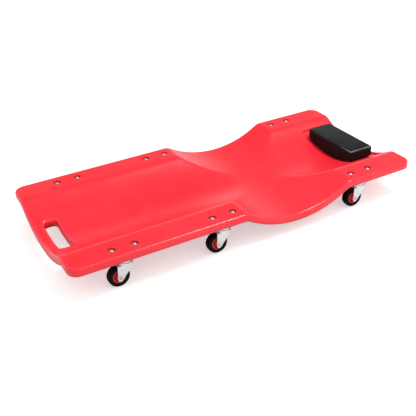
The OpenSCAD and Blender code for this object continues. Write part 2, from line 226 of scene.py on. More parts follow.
# ---- Node graphs ---------------------------------------------------------------


class Graph:
    """Adds nodes to a tree. A value is a number, a colour or another node's output."""

    def __init__(self, tree):
        self.tree = tree

    def feed(self, socket, value):
        """Links an output to a socket, or sets the socket's own value."""
        if isinstance(value, bpy.types.NodeSocket):
            self.tree.links.new(value, socket)
        else:
            socket.default_value = value

    def add(self, kind, values=None, **settings):
        """A new node, with values fed to its inputs by name or number."""
        node = self.tree.nodes.new(kind)
        for name, value in settings.items():
            setattr(node, name, value)
        for key, value in (values or {}).items():
            self.feed(node.inputs[key], value)
        return node

    def math(self, operation, *values):
        node = self.add("ShaderNodeMath", operation=operation)
        for socket, value in zip(node.inputs, values):
            self.feed(socket, value)
        return node.outputs[0]

    def ramp(self, value, low, high, to_low=0.0, to_high=1.0):
        """Maps one range onto another and stops at its ends."""
        names = ("Value", "From Min", "From Max", "To Min", "To Max")
        values = dict(zip(names, (value, low, high, to_low, to_high)))
        return self.add("ShaderNodeMapRange", values, clamp=True).outputs["Result"]

    def mix(self, factor, first, second):
        node = self.add("ShaderNodeMix", data_type="RGBA")
        sockets = (node.inputs[0], node.inputs[6], node.inputs[7])
        for socket, value in zip(sockets, (factor, first, second)):
            self.feed(socket, value)
        return node.outputs[2]

    def noise(self, vector, scale, detail=2.0, roughness=0.5):
        values = {"Vector": vector, "Scale": scale, "Detail": detail, "Roughness": roughness}
        return self.add("ShaderNodeTexNoise", values).outputs["Fac"]

    def attribute(self, name):
        """A mark that the mesh carries."""
        return self.add("ShaderNodeAttribute", attribute_name=name).outputs["Fac"]

    def stretched(self, vector, scale, turn=0.0):
        """Coordinates turned about Z and scaled."""
        values = {"Vector": vector, "Rotation": (0, 0, turn), "Scale": scale}
        return self.add("ShaderNodeMapping", values).outputs[0]

    def group(self, name, values):
        """The outputs of a shared shader group, built the first time it is asked for."""
        tree = bpy.data.node_groups.get(name) or SHADER_GROUPS[name](name)
        return self.add("ShaderNodeGroup", values, node_tree=tree).outputs


def new_group(name, kind, inputs, outputs):
    """An empty node group with named sockets, its graph, and its two end nodes."""
    tree = bpy.data.node_groups.new(name, kind)
    for label, socket, default in inputs:
        item = tree.interface.new_socket(label, in_out="INPUT", socket_type=socket)
        if default is not None:
            item.default_value = default
    for label, socket in outputs:
        tree.interface.new_socket(label, in_out="OUTPUT", socket_type=socket)
    graph = Graph(tree)
    return tree, graph, graph.add("NodeGroupInput").outputs, graph.add("NodeGroupOutput").inputs


def rgba(value):
    """A colour with full alpha."""
    return (*value, 1.0)


def realized(g, geometry, finish):
    """Ends a geometry tree: real geometry with its material."""
    real = g.add("GeometryNodeRealizeInstances", {"Geometry": geometry}).outputs[0]
    values = {"Geometry": real, "Material": finish}
    return g.add("GeometryNodeSetMaterial", values).outputs[0]


def modified(piece, kind, **settings):
    """Adds a modifier with its settings."""
    modifier = piece.modifiers.new(kind.title(), kind)
    for name, value in settings.items():
        setattr(modifier, name, value)
    return modifier


def baked(source, name):
    """Turns an object with modifiers into a plain one."""
    bpy.context.view_layer.update()
    graph = bpy.context.evaluated_depsgraph_get()
    mesh = bpy.data.meshes.new_from_object(
        source.evaluated_get(graph), preserve_all_data_layers=True, depsgraph=graph
    )
    bpy.data.objects.remove(source)
    return placed(name, mesh)


def grown(name, tree, mesh, values):
    """A plain mesh object made by running a geometry tree on a mesh."""
    source = placed(name + "_source", mesh)
    modifier = modified(source, "NODES", node_group=tree)
    for item in tree.interface.items_tree:
        if item.item_type == "SOCKET" and item.in_out == "INPUT" and item.name in values:
            modifier[item.identifier] = values[item.name]
    return baked(source, name)


def shaped(name, build):
    """A mesh made by a function that fills a bmesh."""
    mesh = bpy.data.meshes.new(name)
    form = bmesh.new()
    build(form)
    form.to_mesh(mesh)
    form.free()
    return mesh


def placed(name, mesh):
    """An object at the origin that shows a mesh."""
    mesh.name = name
    piece = bpy.data.objects.new(name, mesh)
    bpy.context.collection.objects.link(piece)
    return piece


def smooth(mesh, angle=38.0):
    """Smooth shading with a sharp edge wherever faces meet at more than the angle."""
    mesh.shade_smooth()
    mesh.set_sharp_from_angle(angle=math.radians(angle))


def clad(mesh, material):
    """Gives a mesh its only material."""
    mesh.materials.clear()
    mesh.materials.append(material)


def finished(piece, body, nodes, material=None):
    """Gives a piece its material and body, and hides the nodes that it stands for."""
    if material:
        clad(piece.data, material)
    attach(piece, body)
    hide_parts(*nodes)


def add_mark(mesh, name, rule):
    """Stores what rule(x, y, z) gives at each point, from 0 to 1, for a material to read."""
    values = [min(max(rule(*vertex.co), 0.0), 1.0) for vertex in mesh.vertices]
    mesh.attributes.new(name, "FLOAT", "POINT").data.foreach_set("value", values)


# ---- Mesh helpers ---------------------------------------------------------------


class Skin:
    """Gathers loops of points and the faces between them."""

    def __init__(self):
        self.points = []
        self.faces = []

    def loop(self, points, z):
        """Adds a loop at one height, and returns its point numbers."""
        start = len(self.points)
        self.points += [(x, y, z) for x, y in points]
        return list(range(start, len(self.points)))

    def strip(self, inner, outer):
        """Faces between two loops, facing up where the outer one lies outside."""
        count = len(inner)
        for i in range(count):
            j = (i + 1) % count
            self.faces.append((inner[i], outer[i], outer[j], inner[j]))

    def wall(self, rings, depths):
        """Faces through rings of points, each at its own depth."""
        loops = [self.loop(ring, -depth) for ring, depth in zip(rings, depths)]
        for first, second in zip(loops, loops[1:]):
            self.strip(first, second)
        return loops

    def turned(self, profile, count, middle=(0, 0)):
        """Faces through circles of (radius, z) about an upright line."""
        rings = [circle_loop(middle, radius, count) for radius, _ in profile]
        return self.wall(rings, [-z for _, z in profile])

    def patch(self, points, faces):
        """Adds points, and faces that number them from 0."""
        start = len(self.points)
        self.points += points
        self.faces += [tuple(start + i for i in face) for face in faces]

    def mesh(self, name, merge=1e-6):
        """The mesh of all that was gathered, with its faces turned outward."""
        mesh = bpy.data.meshes.new(name)
        mesh.from_pydata(self.points, [], self.faces)
        form = bmesh.new()
        form.from_mesh(mesh)
        bmesh.ops.remove_doubles(form, verts=form.verts, dist=merge)
        bmesh.ops.recalc_face_normals(form, faces=form.faces)
        form.to_mesh(mesh)
        form.free()
        return mesh


def rounded_loop(middle, half_x, half_y, radius, counts):
    """A rounded rectangle, counter-clockwise. counts: runs along X, along Y, round a corner."""
    along, across, corner = counts
    arcs = []
    for quarter, (sx, sy) in enumerate(((1, 1), (-1, 1), (-1, -1), (1, -1))):
        cx = middle[0] + sx * (half_x - radius)
        cy = middle[1] + sy * (half_y - radius)
        angles = [(quarter + step / corner) * math.pi / 2 for step in range(corner + 1)]
        arcs.append([(cx + radius * math.cos(a), cy + radius * math.sin(a)) for a in angles])
    points = []
    for i, arc in enumerate(arcs):
        points += arc
        (ax, ay), (bx, by) = arc[-1], arcs[(i + 1) % 4][0]
        runs = across if i % 2 else along
        points += [(ax + (bx - ax) * k / runs, ay + (by - ay) * k / runs) for k in range(1, runs)]
    return points


def circle_loop(middle, radius, count):
    """A circle, counter-clockwise."""
    angles = [2 * math.pi * i / count for i in range(count)]
    return [(middle[0] + radius * math.cos(a), middle[1] + radius * math.sin(a)) for a in angles]


def outside(x, y, box):
    """How far a point lies outside a rounded rectangle: (middle, half_x, half_y, radius)."""
    (mx, my), half_x, half_y, radius = box
    qx = abs(x - mx) - half_x + radius
    qy = abs(y - my) - half_y + radius
    return math.hypot(max(qx, 0), max(qy, 0)) + min(max(qx, qy), 0) - radius


def eased(value):
    """A soft step from 0 to 1."""
    value = min(max(value, 0.0), 1.0)
    return value * value * (3 - 2 * value)


def within(loop, xs, ys):
    """Which points lie inside a convex counter-clockwise loop."""
    found = np.ones(len(xs), dtype=bool)
    for (ax, ay), (bx, by) in zip(loop, loop[1:] + loop[:1]):
        found &= (bx - ax) * (ys - ay) - (by - ay) * (xs - ax) > 0
    return found


def filled(border, holes, lines, spacing, height):
    """Triangles between a border loop and its convex holes, with lines kept as edges.

    height(x, y) gives each point's z."""
    loops = [border, *holes, *lines]
    coords = [Vector(p) for loop in loops for p in loop]
    owner = [k for k, loop in enumerate(loops) for _ in loop]
    edges = []
    start = 0
    for loop in loops:
        count = len(loop)
        edges += [(start + i, start + (i + 1) % count) for i in range(count)]
        start += count
    tree = KDTree(len(coords))
    for i, p in enumerate(coords):
        tree.insert((p.x, p.y, 0), i)
    tree.balance()
    low = np.min(border, axis=0)
    high = np.max(border, axis=0)
    columns, rows = np.round((high - low) / spacing).astype(int)
    xs = np.linspace(low[0], high[0], columns + 1)
    xs, ys = np.meshgrid(xs, np.linspace(low[1], high[1], rows + 1))
    xs, ys = xs.ravel(), ys.ravel()
    kept = within(border, xs, ys)
    for hole in holes:
        kept &= ~within(hole, xs, ys)
    for x, y in zip(xs[kept], ys[kept]):
        if tree.find((x, y, 0))[2] > 0.55 * spacing:
            coords.append(Vector((x, y)))
            owner.append(-1)
    points, _, triangles, origins, *_ = delaunay_2d_cdt(coords, edges, [], 1, 1e-7)
    owners = [{owner[o] for o in origin} for origin in origins]
    holed = range(1, 1 + len(holes))
    kept = [t for t in triangles if not any(all(k in owners[i] for i in t) for k in holed)]
    return [(p.x, p.y, height(p.x, p.y)) for p in points], kept


def lathe(profile, middle, count=96, closed=True):
    """Points (radius, y) turned about a line along Y through middle."""
    skin = Skin()
    loops = []
    for radius, y in profile:
        start = len(skin.points)
        ring = circle_loop((middle.x, middle.z), radius, count)
        skin.points += [(x, middle.y + y, z) for x, z in ring]
        loops.append(list(range(start, start + count)))
    for first, second in zip(loops, loops[1:] + loops[:1] if closed else loops[1:]):
        skin.strip(first, second)
    return skin


def arc(cx, cy, radius, start, end, steps):
    """Points on an arc, in degrees."""
    angles = [math.radians(start + (end - start) * i / steps) for i in range(steps + 1)]
    return [(cx + radius * math.cos(a), cy + radius * math.sin(a)) for a in angles]


# ---- Shader groups ---------------------------------------------------------------


def skin_group(name):
    """Fine moulded texture: a bump height, and slow drifts of colour and gloss."""
    tree, g, ends, out = new_group(
        name,
        "ShaderNodeTree",
        [
            ("Vector", "NodeSocketVector", None),
            ("Grain Scale", "NodeSocketFloat", 700.0),
            ("Wave Scale", "NodeSocketFloat", 60.0),
            ("Wave Share", "NodeSocketFloat", 0.4),
        ],
        [(label, "NodeSocketFloat") for label in ("Height", "Drift", "Speckle")],
    )
    vector = ends["Vector"]
    grain = g.noise(vector, ends["Grain Scale"], 2.0, 0.55)
    wave = g.noise(vector, ends["Wave Scale"], 1.0, 0.4)
    g.feed(out["Height"], g.math("ADD", g.math("MULTIPLY", wave, ends["Wave Share"]), grain))
    g.feed(out["Drift"], g.noise(vector, 7.0, 3.0, 0.5))
    g.feed(out["Speckle"], g.ramp(g.noise(vector, 260.0, 3.0, 0.6), 0.35, 0.75))
    return tree


def scuff_group(name):
    """Thin straight scratches in two directions, and patches of rubbing, as masks."""
    tree, g, ends, out = new_group(
        name,
        "ShaderNodeTree",
        [
            ("Vector", "NodeSocketVector", None),
            ("Scale", "NodeSocketFloat", 26.0),
            ("Amount", "NodeSocketFloat", 0.3),
        ],
        [(label, "NodeSocketFloat") for label in ("Scratch", "Rub")],
    )
    vector = ends["Vector"]
    masks = []
    for turn, stretch in ((0.35, 22.0), (1.25, 30.0)):
        lines = g.noise(g.stretched(vector, (1.0, stretch, 1.0), turn), ends["Scale"], 2.0, 0.5)
        thin = g.ramp(g.math("ABSOLUTE", g.math("SUBTRACT", lines, 0.5)), 0.0, 0.006, 1.0, 0.0)
        where = g.ramp(g.noise(vector, 11.0 + turn, 2.0, 0.5), 0.56, 0.72)
        masks.append(g.math("MULTIPLY", thin, where))
    g.feed(out["Scratch"], g.math("MULTIPLY", g.math("MAXIMUM", *masks), ends["Amount"]))
    rub = g.ramp(g.noise(vector, 15.0, 4.0, 0.6), 0.50, 0.78)
    g.feed(out["Rub"], g.math("MULTIPLY", rub, ends["Amount"]))
    return tree


SHADER_GROUPS = {"Moulded Texture": skin_group, "Handling Marks": scuff_group}


def new_material(name):
    """A material's graph, its shader and its Object coordinates."""
    material = bpy.data.materials.new(name)
    material.use_nodes = True
    graph = Graph(material.node_tree)
    shader = material.node_tree.nodes["Principled BSDF"]
    vector = graph.add("ShaderNodeTexCoord").outputs["Object"]
    return material, graph, shader, vector


def moulded(g, vector, grain, wave, share):
    """The moulded texture's outputs, for its two scales and the wave's share of the height."""
    values = {"Vector": vector, "Grain Scale": grain, "Wave Scale": wave, "Wave Share": share}
    return g.group("Moulded Texture", values)


def surfaced(g, shader, base, rough, height, distance):
    """Feeds a shader its colour, its roughness and a bump so many metres high."""
    relief = g.add("ShaderNodeBump", {"Height": height, "Distance": distance})
    values = {"Base Color": base, "Roughness": rough, "Normal": relief.outputs["Normal"]}
    for name, value in values.items():
        g.feed(shader.inputs[name], value)


def board_material(settings):
    """Red moulded polyethylene with a soft gloss, a fine skin and a painted highlight along its
    edges.
    """
    material, g, shader, vector = new_material("board_plastic")
    texture = moulded(g, vector, 900.0, 55.0, 1.6)
    marks = g.group("Handling Marks", {"Vector": vector, "Scale": 24.0, "Amount": 0.22})
    red = Vector(settings.colour)
    bright = rgba((red.x, red.y * 1.35, red.z * 1.3))
    base = g.mix(g.ramp(texture["Drift"], 0.35, 0.65), rgba(red * 0.93), bright)
    wear_and_highlight = rgba((min(red.x * 1.02, 1.0), red.y * 2.6, red.z * 2.4))
    base = g.mix(marks["Scratch"], base, wear_and_highlight)
    # A highlight is painted along the upper round-over of the board's edges and the slot's rim; the
    # same mark makes it glossier.
    edge = g.attribute("edge")
    pale = rgba((1.0, red.y * 6.0, red.z * 4.5))
    base = g.mix(g.math("MULTIPLY", edge, 0.45), base, pale)
    # Painted shade in the bolt wells, down the slot's walls and round the foot of the headrest.
    recess = g.attribute("recess")
    shade = rgba((red.x * 0.38, 0.0, red.z * 0.05))
    rough = g.ramp(texture["Speckle"], 0.0, 1.0, 0.27, 0.33)
    for mask, change in ((marks["Rub"], 0.3), (edge, -0.14), (recess, -0.1)):
        rough = g.math("ADD", rough, g.math("MULTIPLY", mask, change))
    surfaced(g, shader, g.mix(recess, base, shade), rough, texture["Height"], 0.00003)
    return material


def vinyl_material(settings):
    """Black grained vinyl, with painted light on its lid and a painted highlight along its top
    edges.
    """
    material, g, shader, vector = new_material("headrest_vinyl")
    cells = {"Vector": vector, "Scale": 620.0, "Randomness": 1.0}
    pebble = g.add("ShaderNodeTexVoronoi", cells, feature="DISTANCE_TO_EDGE").outputs["Distance"]
    crease = g.ramp(pebble, 0.0, 0.16)
    fold = g.noise(vector, 45.0, 2.0, 0.5)
    black = Vector(settings.colour)
    parts = g.add("ShaderNodeSeparateXYZ", {"Vector": vector}).outputs
    # Painted light: the lid is lighter than the sides, and lighter towards the far end.
    top = g.ramp(parts["Z"], REST_HIGH.z - 0.0022, REST_HIGH.z - 0.0006)
    near = g.ramp(parts["Y"], 0.95 * REST_LOW.y, 0.5 * REST_LOW.y, 1.0, 0.0)
    across = g.ramp(parts["Y"], REST_LOW.y, REST_HIGH.y)
    side = g.mix(crease, rgba(black * 0.4), rgba(black * 0.8))
    lid = g.mix(crease, rgba(black * 0.6), g.mix(across, rgba(black * 0.5), rgba(black * 3.0)))
    # Painted highlight along the top edges, in patches and strongest at the near end; it also makes
    # the band glossier.
    patches = g.ramp(g.noise(vector, 70.0, 3.0, 0.6), 0.25, 0.6, 0.4, 1.0)
    wear_and_highlight = g.math("MULTIPLY", g.attribute("edge"), patches)
    painted_highlight = g.mix(near, rgba(black * 3.0), rgba(black * 18.0))
    base = g.mix(wear_and_highlight, g.mix(top, side, lid), painted_highlight)
    rough = g.ramp(g.noise(vector, 30.0, 3.0, 0.6), 0.3, 0.7, 0.36, 0.46)
    rough = g.math("SUBTRACT", rough, g.math("MULTIPLY", wear_and_highlight, 0.14))
    shader.inputs["IOR"].default_value = 1.2
    height = g.math("ADD", crease, g.math("MULTIPLY", fold, 1.2))
    surfaced(g, shader, base, rough, height, 0.00022)
    return material


def metal_material(name, tint, rough, spangle, metallic=1.0, shade_tint=None):
    """Plated or bare steel, with soft spangles, a drawn grain and painted shade in its hollows."""
    material, g, shader, vector = new_material(name)
    cells = g.add("ShaderNodeTexVoronoi", {"Vector": vector, "Scale": spangle}).outputs["Color"]
    flake = g.add("ShaderNodeSeparateColor", {"Color": cells}).outputs[0]
    cloud = g.noise(vector, 120.0, 3.0, 0.6)
    blend = g.math("ADD", g.math("MULTIPLY", flake, 0.35), g.math("MULTIPLY", cloud, 0.65))
    base = g.mix(blend, rgba(tint * 0.8), rgba(tint))
    # Painted shade where the mesh marks it: in the rivets' hollows and on the bolt heads' flanks.
    recess = g.attribute("recess")
    base = g.mix(recess, base, rgba(shade_tint or tint * 0.06))
    gloss = g.ramp(blend, 0.2, 0.8, rough * 1.25, rough * 0.8)
    gloss = g.math("ADD", gloss, g.math("MULTIPLY", recess, 0.3))
    shader.inputs["Metallic"].default_value = metallic
    drawn = g.noise(g.stretched(vector, (1.0, 1.0, 0.12)), 900.0, 2.0, 0.5)
    surfaced(g, shader, base, gloss, drawn, 0.00003)
    return material


def hub_material(settings):
    """Red moulded hub plastic."""
    material, g, shader, vector = new_material("hub_plastic")
    texture = moulded(g, vector, 1500.0, 160.0, 0.5)
    red = Vector(settings.hub_colour)
    base = g.mix(texture["Speckle"], rgba(red * 0.85), rgba(red))
    # Painted shade on the web inside the rim.
    base = g.mix(g.attribute("recess"), base, rgba(red * 0.4))
    rough = g.ramp(texture["Speckle"], 0.0, 1.0, 0.34, 0.46)
    surfaced(g, shader, base, rough, texture["Height"], 0.00004)
    return material


def tyre_material(settings):
    """Black rubber: a dull tread, and a paler side wall where the mesh says so."""
    material, g, shader, vector = new_material("tyre_rubber")
    texture = moulded(g, vector, 1300.0, 220.0, 0.7)
    wall = g.attribute("wall")
    black = Vector(settings.tyre_colour)
    grey = Vector(settings.wall_colour)
    tread = g.mix(texture["Speckle"], rgba(black * 0.8), rgba(black * 1.25))
    side = g.mix(texture["Speckle"], rgba(grey * 0.85), rgba(grey * 1.15))
    rough = g.ramp(wall, 0.0, 1.0, 0.66, 0.52)
    shader.inputs["IOR"].default_value = 1.2
    surfaced(g, shader, g.mix(wall, tread, side), rough, texture["Height"], 0.00006)
    return material


def ply_material():
    """Bare bent plywood with a long grain."""
    material, g, shader, vector = new_material("headrest_ply")
    rings = g.noise(g.stretched(vector, (1.0, 0.06, 1.0)), 420.0, 4.0, 0.6)
    base = g.mix(rings, (0.30, 0.18, 0.085, 1), (0.62, 0.44, 0.25, 1))
    surfaced(g, shader, base, g.ramp(rings, 0.3, 0.7, 0.55, 0.75), rings, 0.00015)
    return material


# ---- The board -------------------------------------------------------------------


def form_tree():
    """Lifts a flat board into its form: rails, a dish along it and a scoop across it.

    The bottom skin has a form of its own, round the dish's axis."""
    names = ("Rail Height", "Thickness", "Belly", "Dish Depth", "Dish Half Width", "Scoop Depth")
    names += ("Scoop Middle", "Scoop Half Length", "Rail Softness", "Crease Softness")
    tree, g, ends, out = new_group(
        "Board Form",
        "GeometryNodeTree",
        [("Geometry", "NodeSocketGeometry", None)]
        + [(label, "NodeSocketFloat", 0.01) for label in names]
        + [("Finish", "NodeSocketMaterial", None)],
        [("Geometry", "NodeSocketGeometry")],
    )
    place = g.add("GeometryNodeInputPosition").outputs[0]
    parts = g.add("ShaderNodeSeparateXYZ", {"Vector": place}).outputs
    thick = ends["Thickness"]

    def square(value):
        return g.math("MULTIPLY", value, value)

    def radius_of(half, depth):
        both = g.math("ADD", square(half), square(depth))
        return g.math("DIVIDE", both, g.math("MULTIPLY", depth, 2.0))

    def sag(offset, radius):
        rest = g.math("SUBTRACT", square(radius), square(offset))
        return g.math("SQRT", g.math("MAXIMUM", rest, 0.0))

    def joined(dish, scoop):
        hollow = g.math("SMOOTH_MIN", dish, scoop, ends["Crease Softness"])
        return g.math("SMOOTH_MIN", hollow, 0.0, ends["Rail Softness"])

    radius = radius_of(ends["Dish Half Width"], ends["Dish Depth"])
    axis = g.math("SUBTRACT", radius, ends["Dish Depth"])
    dish = g.math("SUBTRACT", axis, sag(parts["Y"], radius))
    under_radius = g.math("ADD", radius, g.math("ADD", thick, ends["Belly"]))
    under = g.math("SUBTRACT", g.math("ADD", axis, thick), sag(parts["Y"], under_radius))

    along = g.math("SUBTRACT", parts["X"], ends["Scoop Middle"])
    radius = radius_of(ends["Scoop Half Length"], ends["Scoop Depth"])
    axis = g.math("SUBTRACT", radius, ends["Scoop Depth"])
    scoop = g.math("SUBTRACT", axis, sag(along, radius))

    depth = g.math("DIVIDE", g.math("MULTIPLY", parts["Z"], -1.0), thick)
    form = g.ramp(depth, 0.0, 1.0, joined(dish, scoop), joined(under, scoop))
    lift = g.add("ShaderNodeCombineXYZ", {"Z": g.math("ADD", form, ends["Rail Height"])}).outputs[0]
    values = {"Geometry": ends["Geometry"], "Offset": lift}
    moved = g.add("GeometryNodeSetPosition", values).outputs[0]
    g.feed(out["Geometry"], realized(g, moved, ends["Finish"]))
    return tree


def bolt_places(fasteners):
    """Where the bolts stand, from the kingpins and the plates."""
    step = PLATE_HALF_LENGTH - fasteners.plate_end
    return [(p.x + side * step, p.y) for p in KINGPINS.values() for side in (-1, 1)]


def screw_places():
    """Where the headrest's screws stand, under the pad."""
    middle = (REST_LOW + REST_HIGH) / 2
    step = (REST_HIGH - REST_LOW) / 4
    return [(middle.x + sx * step.x, middle.y + sy * step.y) for sx in (-1, 1) for sy in (-1, 1)]


def pocket_places():
    """Rows of shallow moulded pockets on the underside of the dish."""
    columns = [-0.352 + 0.096 * i for i in range(8)]
    return [(x, y) for x in columns for y in (-0.072, 0.0, 0.072)]


def add_board_marks(mesh, settings, fasteners):
    """Marks the flat board's hollows for painted shade, and its upper round-overs for a highlight.
    """
    mouth = fasteners.head_radius + WELL_CLEAR + fasteners.well_flare
    wells = bolt_places(fasteners)
    place = (DECK_LOW.x + settings.slot_inset, 0.0)
    half_x, half_y = settings.slot_width / 2, settings.slot_length / 2
    rim = settings.slot_rim / 2
    slot = (place, half_x, half_y, settings.slot_corner)
    border = ((0.0, 0.0), HALF_LENGTH, HALF_WIDTH, settings.corner_radius)
    middle = (REST_LOW + REST_HIGH) / 2
    pad = (middle.xy, REST_HIGH.x - middle.x, REST_HIGH.y - middle.y, 0.003)

    def recess(x, y, z):
        """How far into a well or the slot, or how near the headrest, a point lies, for painted
        shade.
        """
        if abs(x - place[0]) < half_x + rim and abs(y) < half_y + rim:
            return 0.5 * eased((-z - 0.006) / 0.006)
        if any(math.hypot(x - px, y - py) < mouth + 0.0002 for px, py in wells):
            return eased(-z / 0.0012)
        if z > -settings.thickness / 2:
            return 0.4 * eased(1 - outside(x, y, pad) / 0.009)
        return 0.0

    def edge(x, y, z):
        """How near a point lies to the middle of the edge's upper round-over, for a painted
        highlight.
        """
        inset = min(-outside(x, y, border), outside(x, y, slot))
        return 1 - abs(-z - 0.0013) / 0.0022 if inset < 0.006 and z > -0.0035 else 0.0

    add_mark(mesh, "recess", recess)
    add_mark(mesh, "edge", edge)


def rolled(radius, thick, seam):
    """The upper edge as (inset, depth), the seam, and the same edge below it."""
    turns = [math.radians(15 * i) for i in range(7)]
    over = [(radius * (1 - math.sin(a)), radius * (1 - math.cos(a))) for a in turns]
    return over + seam + [(inset, thick - depth) for inset, depth in reversed(over)]


def rounded_rings(middle, half_x, half_y, corner, insets, counts):
    """A rounded rectangle drawn in, or out where below zero, by each inset."""
    sizes = [(half_x - inset, half_y - inset, corner - inset) for inset in insets]
    return [rounded_loop(middle, *size, counts) for size in sizes]


def flat_board(settings, fasteners):
    """The board laid flat: its top skin at z = 0 and its bottom skin one thickness below."""
    skin = Skin()
    thick = settings.thickness
    half = thick / 2
    pad_drop = RAIL_Z - thick - PLATE_TOP
    pad_depth = thick + pad_drop

    # Edge of the board, with the moulding's parting line
    seam = [(0.0, half - 0.0006), (-FLASH, half - 0.0002)]
    seam += [(inset, thick - depth) for inset, depth in reversed(seam)]
    profile = [(inset + FLASH, depth) for inset, depth in rolled(settings.edge_radius, thick, seam)]
    insets, depths = zip(*profile)
    corner = settings.corner_radius
    rims = rounded_rings((0, 0), HALF_LENGTH, HALF_WIDTH, corner, insets, EDGE_COUNTS)
    skin.wall(rims, depths)

    # Carrying slot
    size = (settings.slot_width / 2, settings.slot_length / 2, settings.slot_corner)
    insets, depths = zip(*rolled(settings.slot_rim, thick, [(-0.0006, half)]))
    place = (settings.slot_inset - HALF_LENGTH, 0.0)
    slot = rounded_rings(place, *size, [-out for out in insets], (3, 18, 8))
    skin.wall(slot, depths)

    # Round wells: for the bolts, for the headrest's screws and over the kingpins' rivets
    def bored(middle, steps, count):
        """The rings of a well through steps of (radius, depth)."""
        rings = [circle_loop(middle, radius, count) for radius, _ in steps]
        return rings, skin.wall(rings, [depth for _, depth in steps])

    floor = fasteners.head_radius + WELL_CLEAR
    mouth = floor + fasteners.well_flare
    depth = fasteners.well_depth
    well = [(mouth + WELL_RIM, 0.0), (mouth + 0.3 * WELL_RIM, 0.25 * WELL_RIM), (mouth, WELL_RIM)]
    well += [(floor + 0.0004, depth - 0.0005), (floor - 0.0003, depth)]
    well += [(HOLE_RADIUS, depth), (HOLE_RADIUS, pad_depth)]
    top_holes, bottom_holes = [slot[0]], [slot[-1]]
    for middle in bolt_places(fasteners):
        rings, _ = bored(middle, well, 28)
        top_holes.append(rings[0])
        bottom_holes.append(rings[-1])

    radius, rise = SCREW_WELL
    well = [(radius + 0.0006, thick), (radius, thick - 0.0008), (radius, thick - rise)]
    well += [(SCREW_HOLE, thick - rise), (SCREW_HOLE, settings.recess_depth)]
    for middle in screw_places():
        rings, _ = bored(middle, well, 24)
        top_holes.append(rings[-1])
        bottom_holes.append(rings[0])

    radius, rise = RIVET_WELL
    well = [(radius, pad_depth), (radius, pad_depth - rise), (radius / 2, pad_depth - rise)]
    for pin in KINGPINS.values():
        rings, loops = bored((pin.x, pin.y), well, 32)
        skin.faces.append(tuple(loops[-1]))
        bottom_holes.append(rings[0])

    # Top skin, with the headrest's recess
    low = REST_LOW.x - RECESS_FRONT - RECESS_RAMP
    high = HALF_LENGTH - settings.recess_lip + RECESS_RAMP
    half_y = REST_HIGH.y + settings.recess_side + RECESS_RAMP
    recess = (((low + high) / 2, 0.0), (high - low) / 2, half_y, RECESS_CORNER)

    def top(x, y):
        return -settings.recess_depth * eased(-outside(x, y, recess) / RECESS_RAMP)

    def ramp_lines(box, ramp, counts):
        """Lines along the head, the middle and the foot of a ramp."""
        return rounded_rings(*box, (0.0, ramp / 2, ramp), counts)

    lines = ramp_lines(recess, RECESS_RAMP, (22, 56, 5))
    skin.patch(*filled(rims[0], top_holes, lines, settings.fineness, top))

    # Bottom skin, with the caster pads and moulded pockets
    margin = PAD_EDGE + PAD_RAMP
    size = (PLATE_HALF_LENGTH + margin, PLATE_HALF_WIDTH + margin, PAD_CORNER)
    pads = [((p.x, p.y), *size) for p in KINGPINS.values()]
    pockets = [(place, *POCKET) for place in pocket_places()]

    def bottom(x, y):
        drops = sum(eased(-outside(x, y, pad) / PAD_RAMP) for pad in pads)
        rises = sum(eased(-outside(x, y, pocket) / POCKET_RAMP) for pocket in pockets)
        return POCKET_DEPTH * rises - pad_drop * drops - thick

    lines = [line for pad in pads for line in ramp_lines(pad, PAD_RAMP, (12, 6, 4))]
    lines += [line for box in pockets for line in ramp_lines(box, POCKET_RAMP, (8, 1, 6))]
    skin.patch(*filled(rims[-1], bottom_holes, lines, 2 * settings.fineness, bottom))
    mesh = skin.mesh("flat_board", merge=2e-6)
    add_board_marks(mesh, settings, fasteners)
    return mesh


class CREEPER_OT_board(bpy.types.Operator):
    """Mould the board: rails, body dish, arm scoop, slot, wells and headrest recess"""

    bl_idname = "creeper.board"
    bl_label = "Board"

    def execute(self, context):
        settings = context.scene.creeper_board
        fasteners = context.scene.creeper_fasteners
        reach = PLATE_HALF_LENGTH + PAD_EDGE + CAD_PAD_RAMP
        start = KINGPINS["middle_left"].x + reach + settings.scoop_foot_gap
        end = KINGPINS["head_left"].x - reach - settings.scoop_head_gap
        values = {
            "Rail Height": RAIL_Z,
            "Thickness": settings.thickness,
            "Belly": settings.belly,
            "Dish Depth": settings.dish_depth,
            "Dish Half Width": HALF_WIDTH - settings.rail_width,
            "Scoop Depth": settings.scoop_depth,
            "Scoop Middle": (start + end) / 2,
            "Scoop Half Length": (end - start) / 2,
            "Rail Softness": settings.rail_softness,
            "Crease Softness": settings.crease_softness,
            "Finish": board_material(settings),
        }
        board = grown("board", form_tree(), flat_board(settings, fasteners), values)
        smooth(board.data)
        finished(board, "root", ["deck"])
        return {"FINISHED"}


# ---- The headrest ----------------------------------------------------------------


def dish_under(settings, y):
    """Height of the headrest's curved underside."""
    half = HALF_WIDTH - settings.rail_width
    radius = (half * half + settings.dish_depth**2) / (2 * settings.dish_depth)
    return REST_LOW.z + radius - math.sqrt(radius * radius - y * y)


def rest_block(board, shrink, height=None):
    """The headrest's block, in from its cover by shrink, and bowed below to fit the dish.

    Without a height it has a flat top; with one it is a bent board that high."""
    skin = Skin()
    low, high = REST_LOW, REST_HIGH
    steps = 48
    rows = []
    for i in range(steps + 1):
        y = low.y + shrink + (high.y - low.y - 2 * shrink) * i / steps
        under = dish_under(board, y)
        top = high.z - shrink if height is None else under + height
        start = len(skin.points)
        x0, x1 = low.x + shrink, high.x - shrink
        skin.points += [(x0, y, under), (x1, y, under), (x1, y, top), (x0, y, top)]
        rows.append(list(range(start, start + 4)))
    for first, second in zip(rows, rows[1:]):
        skin.strip(first, second)
    skin.faces.append(tuple(reversed(rows[0])))
    skin.faces.append(tuple(rows[-1]))
    return skin.mesh("headrest_block")


def points_of(mesh):
    """A mesh's points as rows of numbers."""
    return np.array([vertex.co for vertex in mesh.vertices])


def move_points(mesh, places):
    """Puts a mesh's points at new places."""
    for vertex, place in zip(mesh.vertices, places):
        vertex.co = place


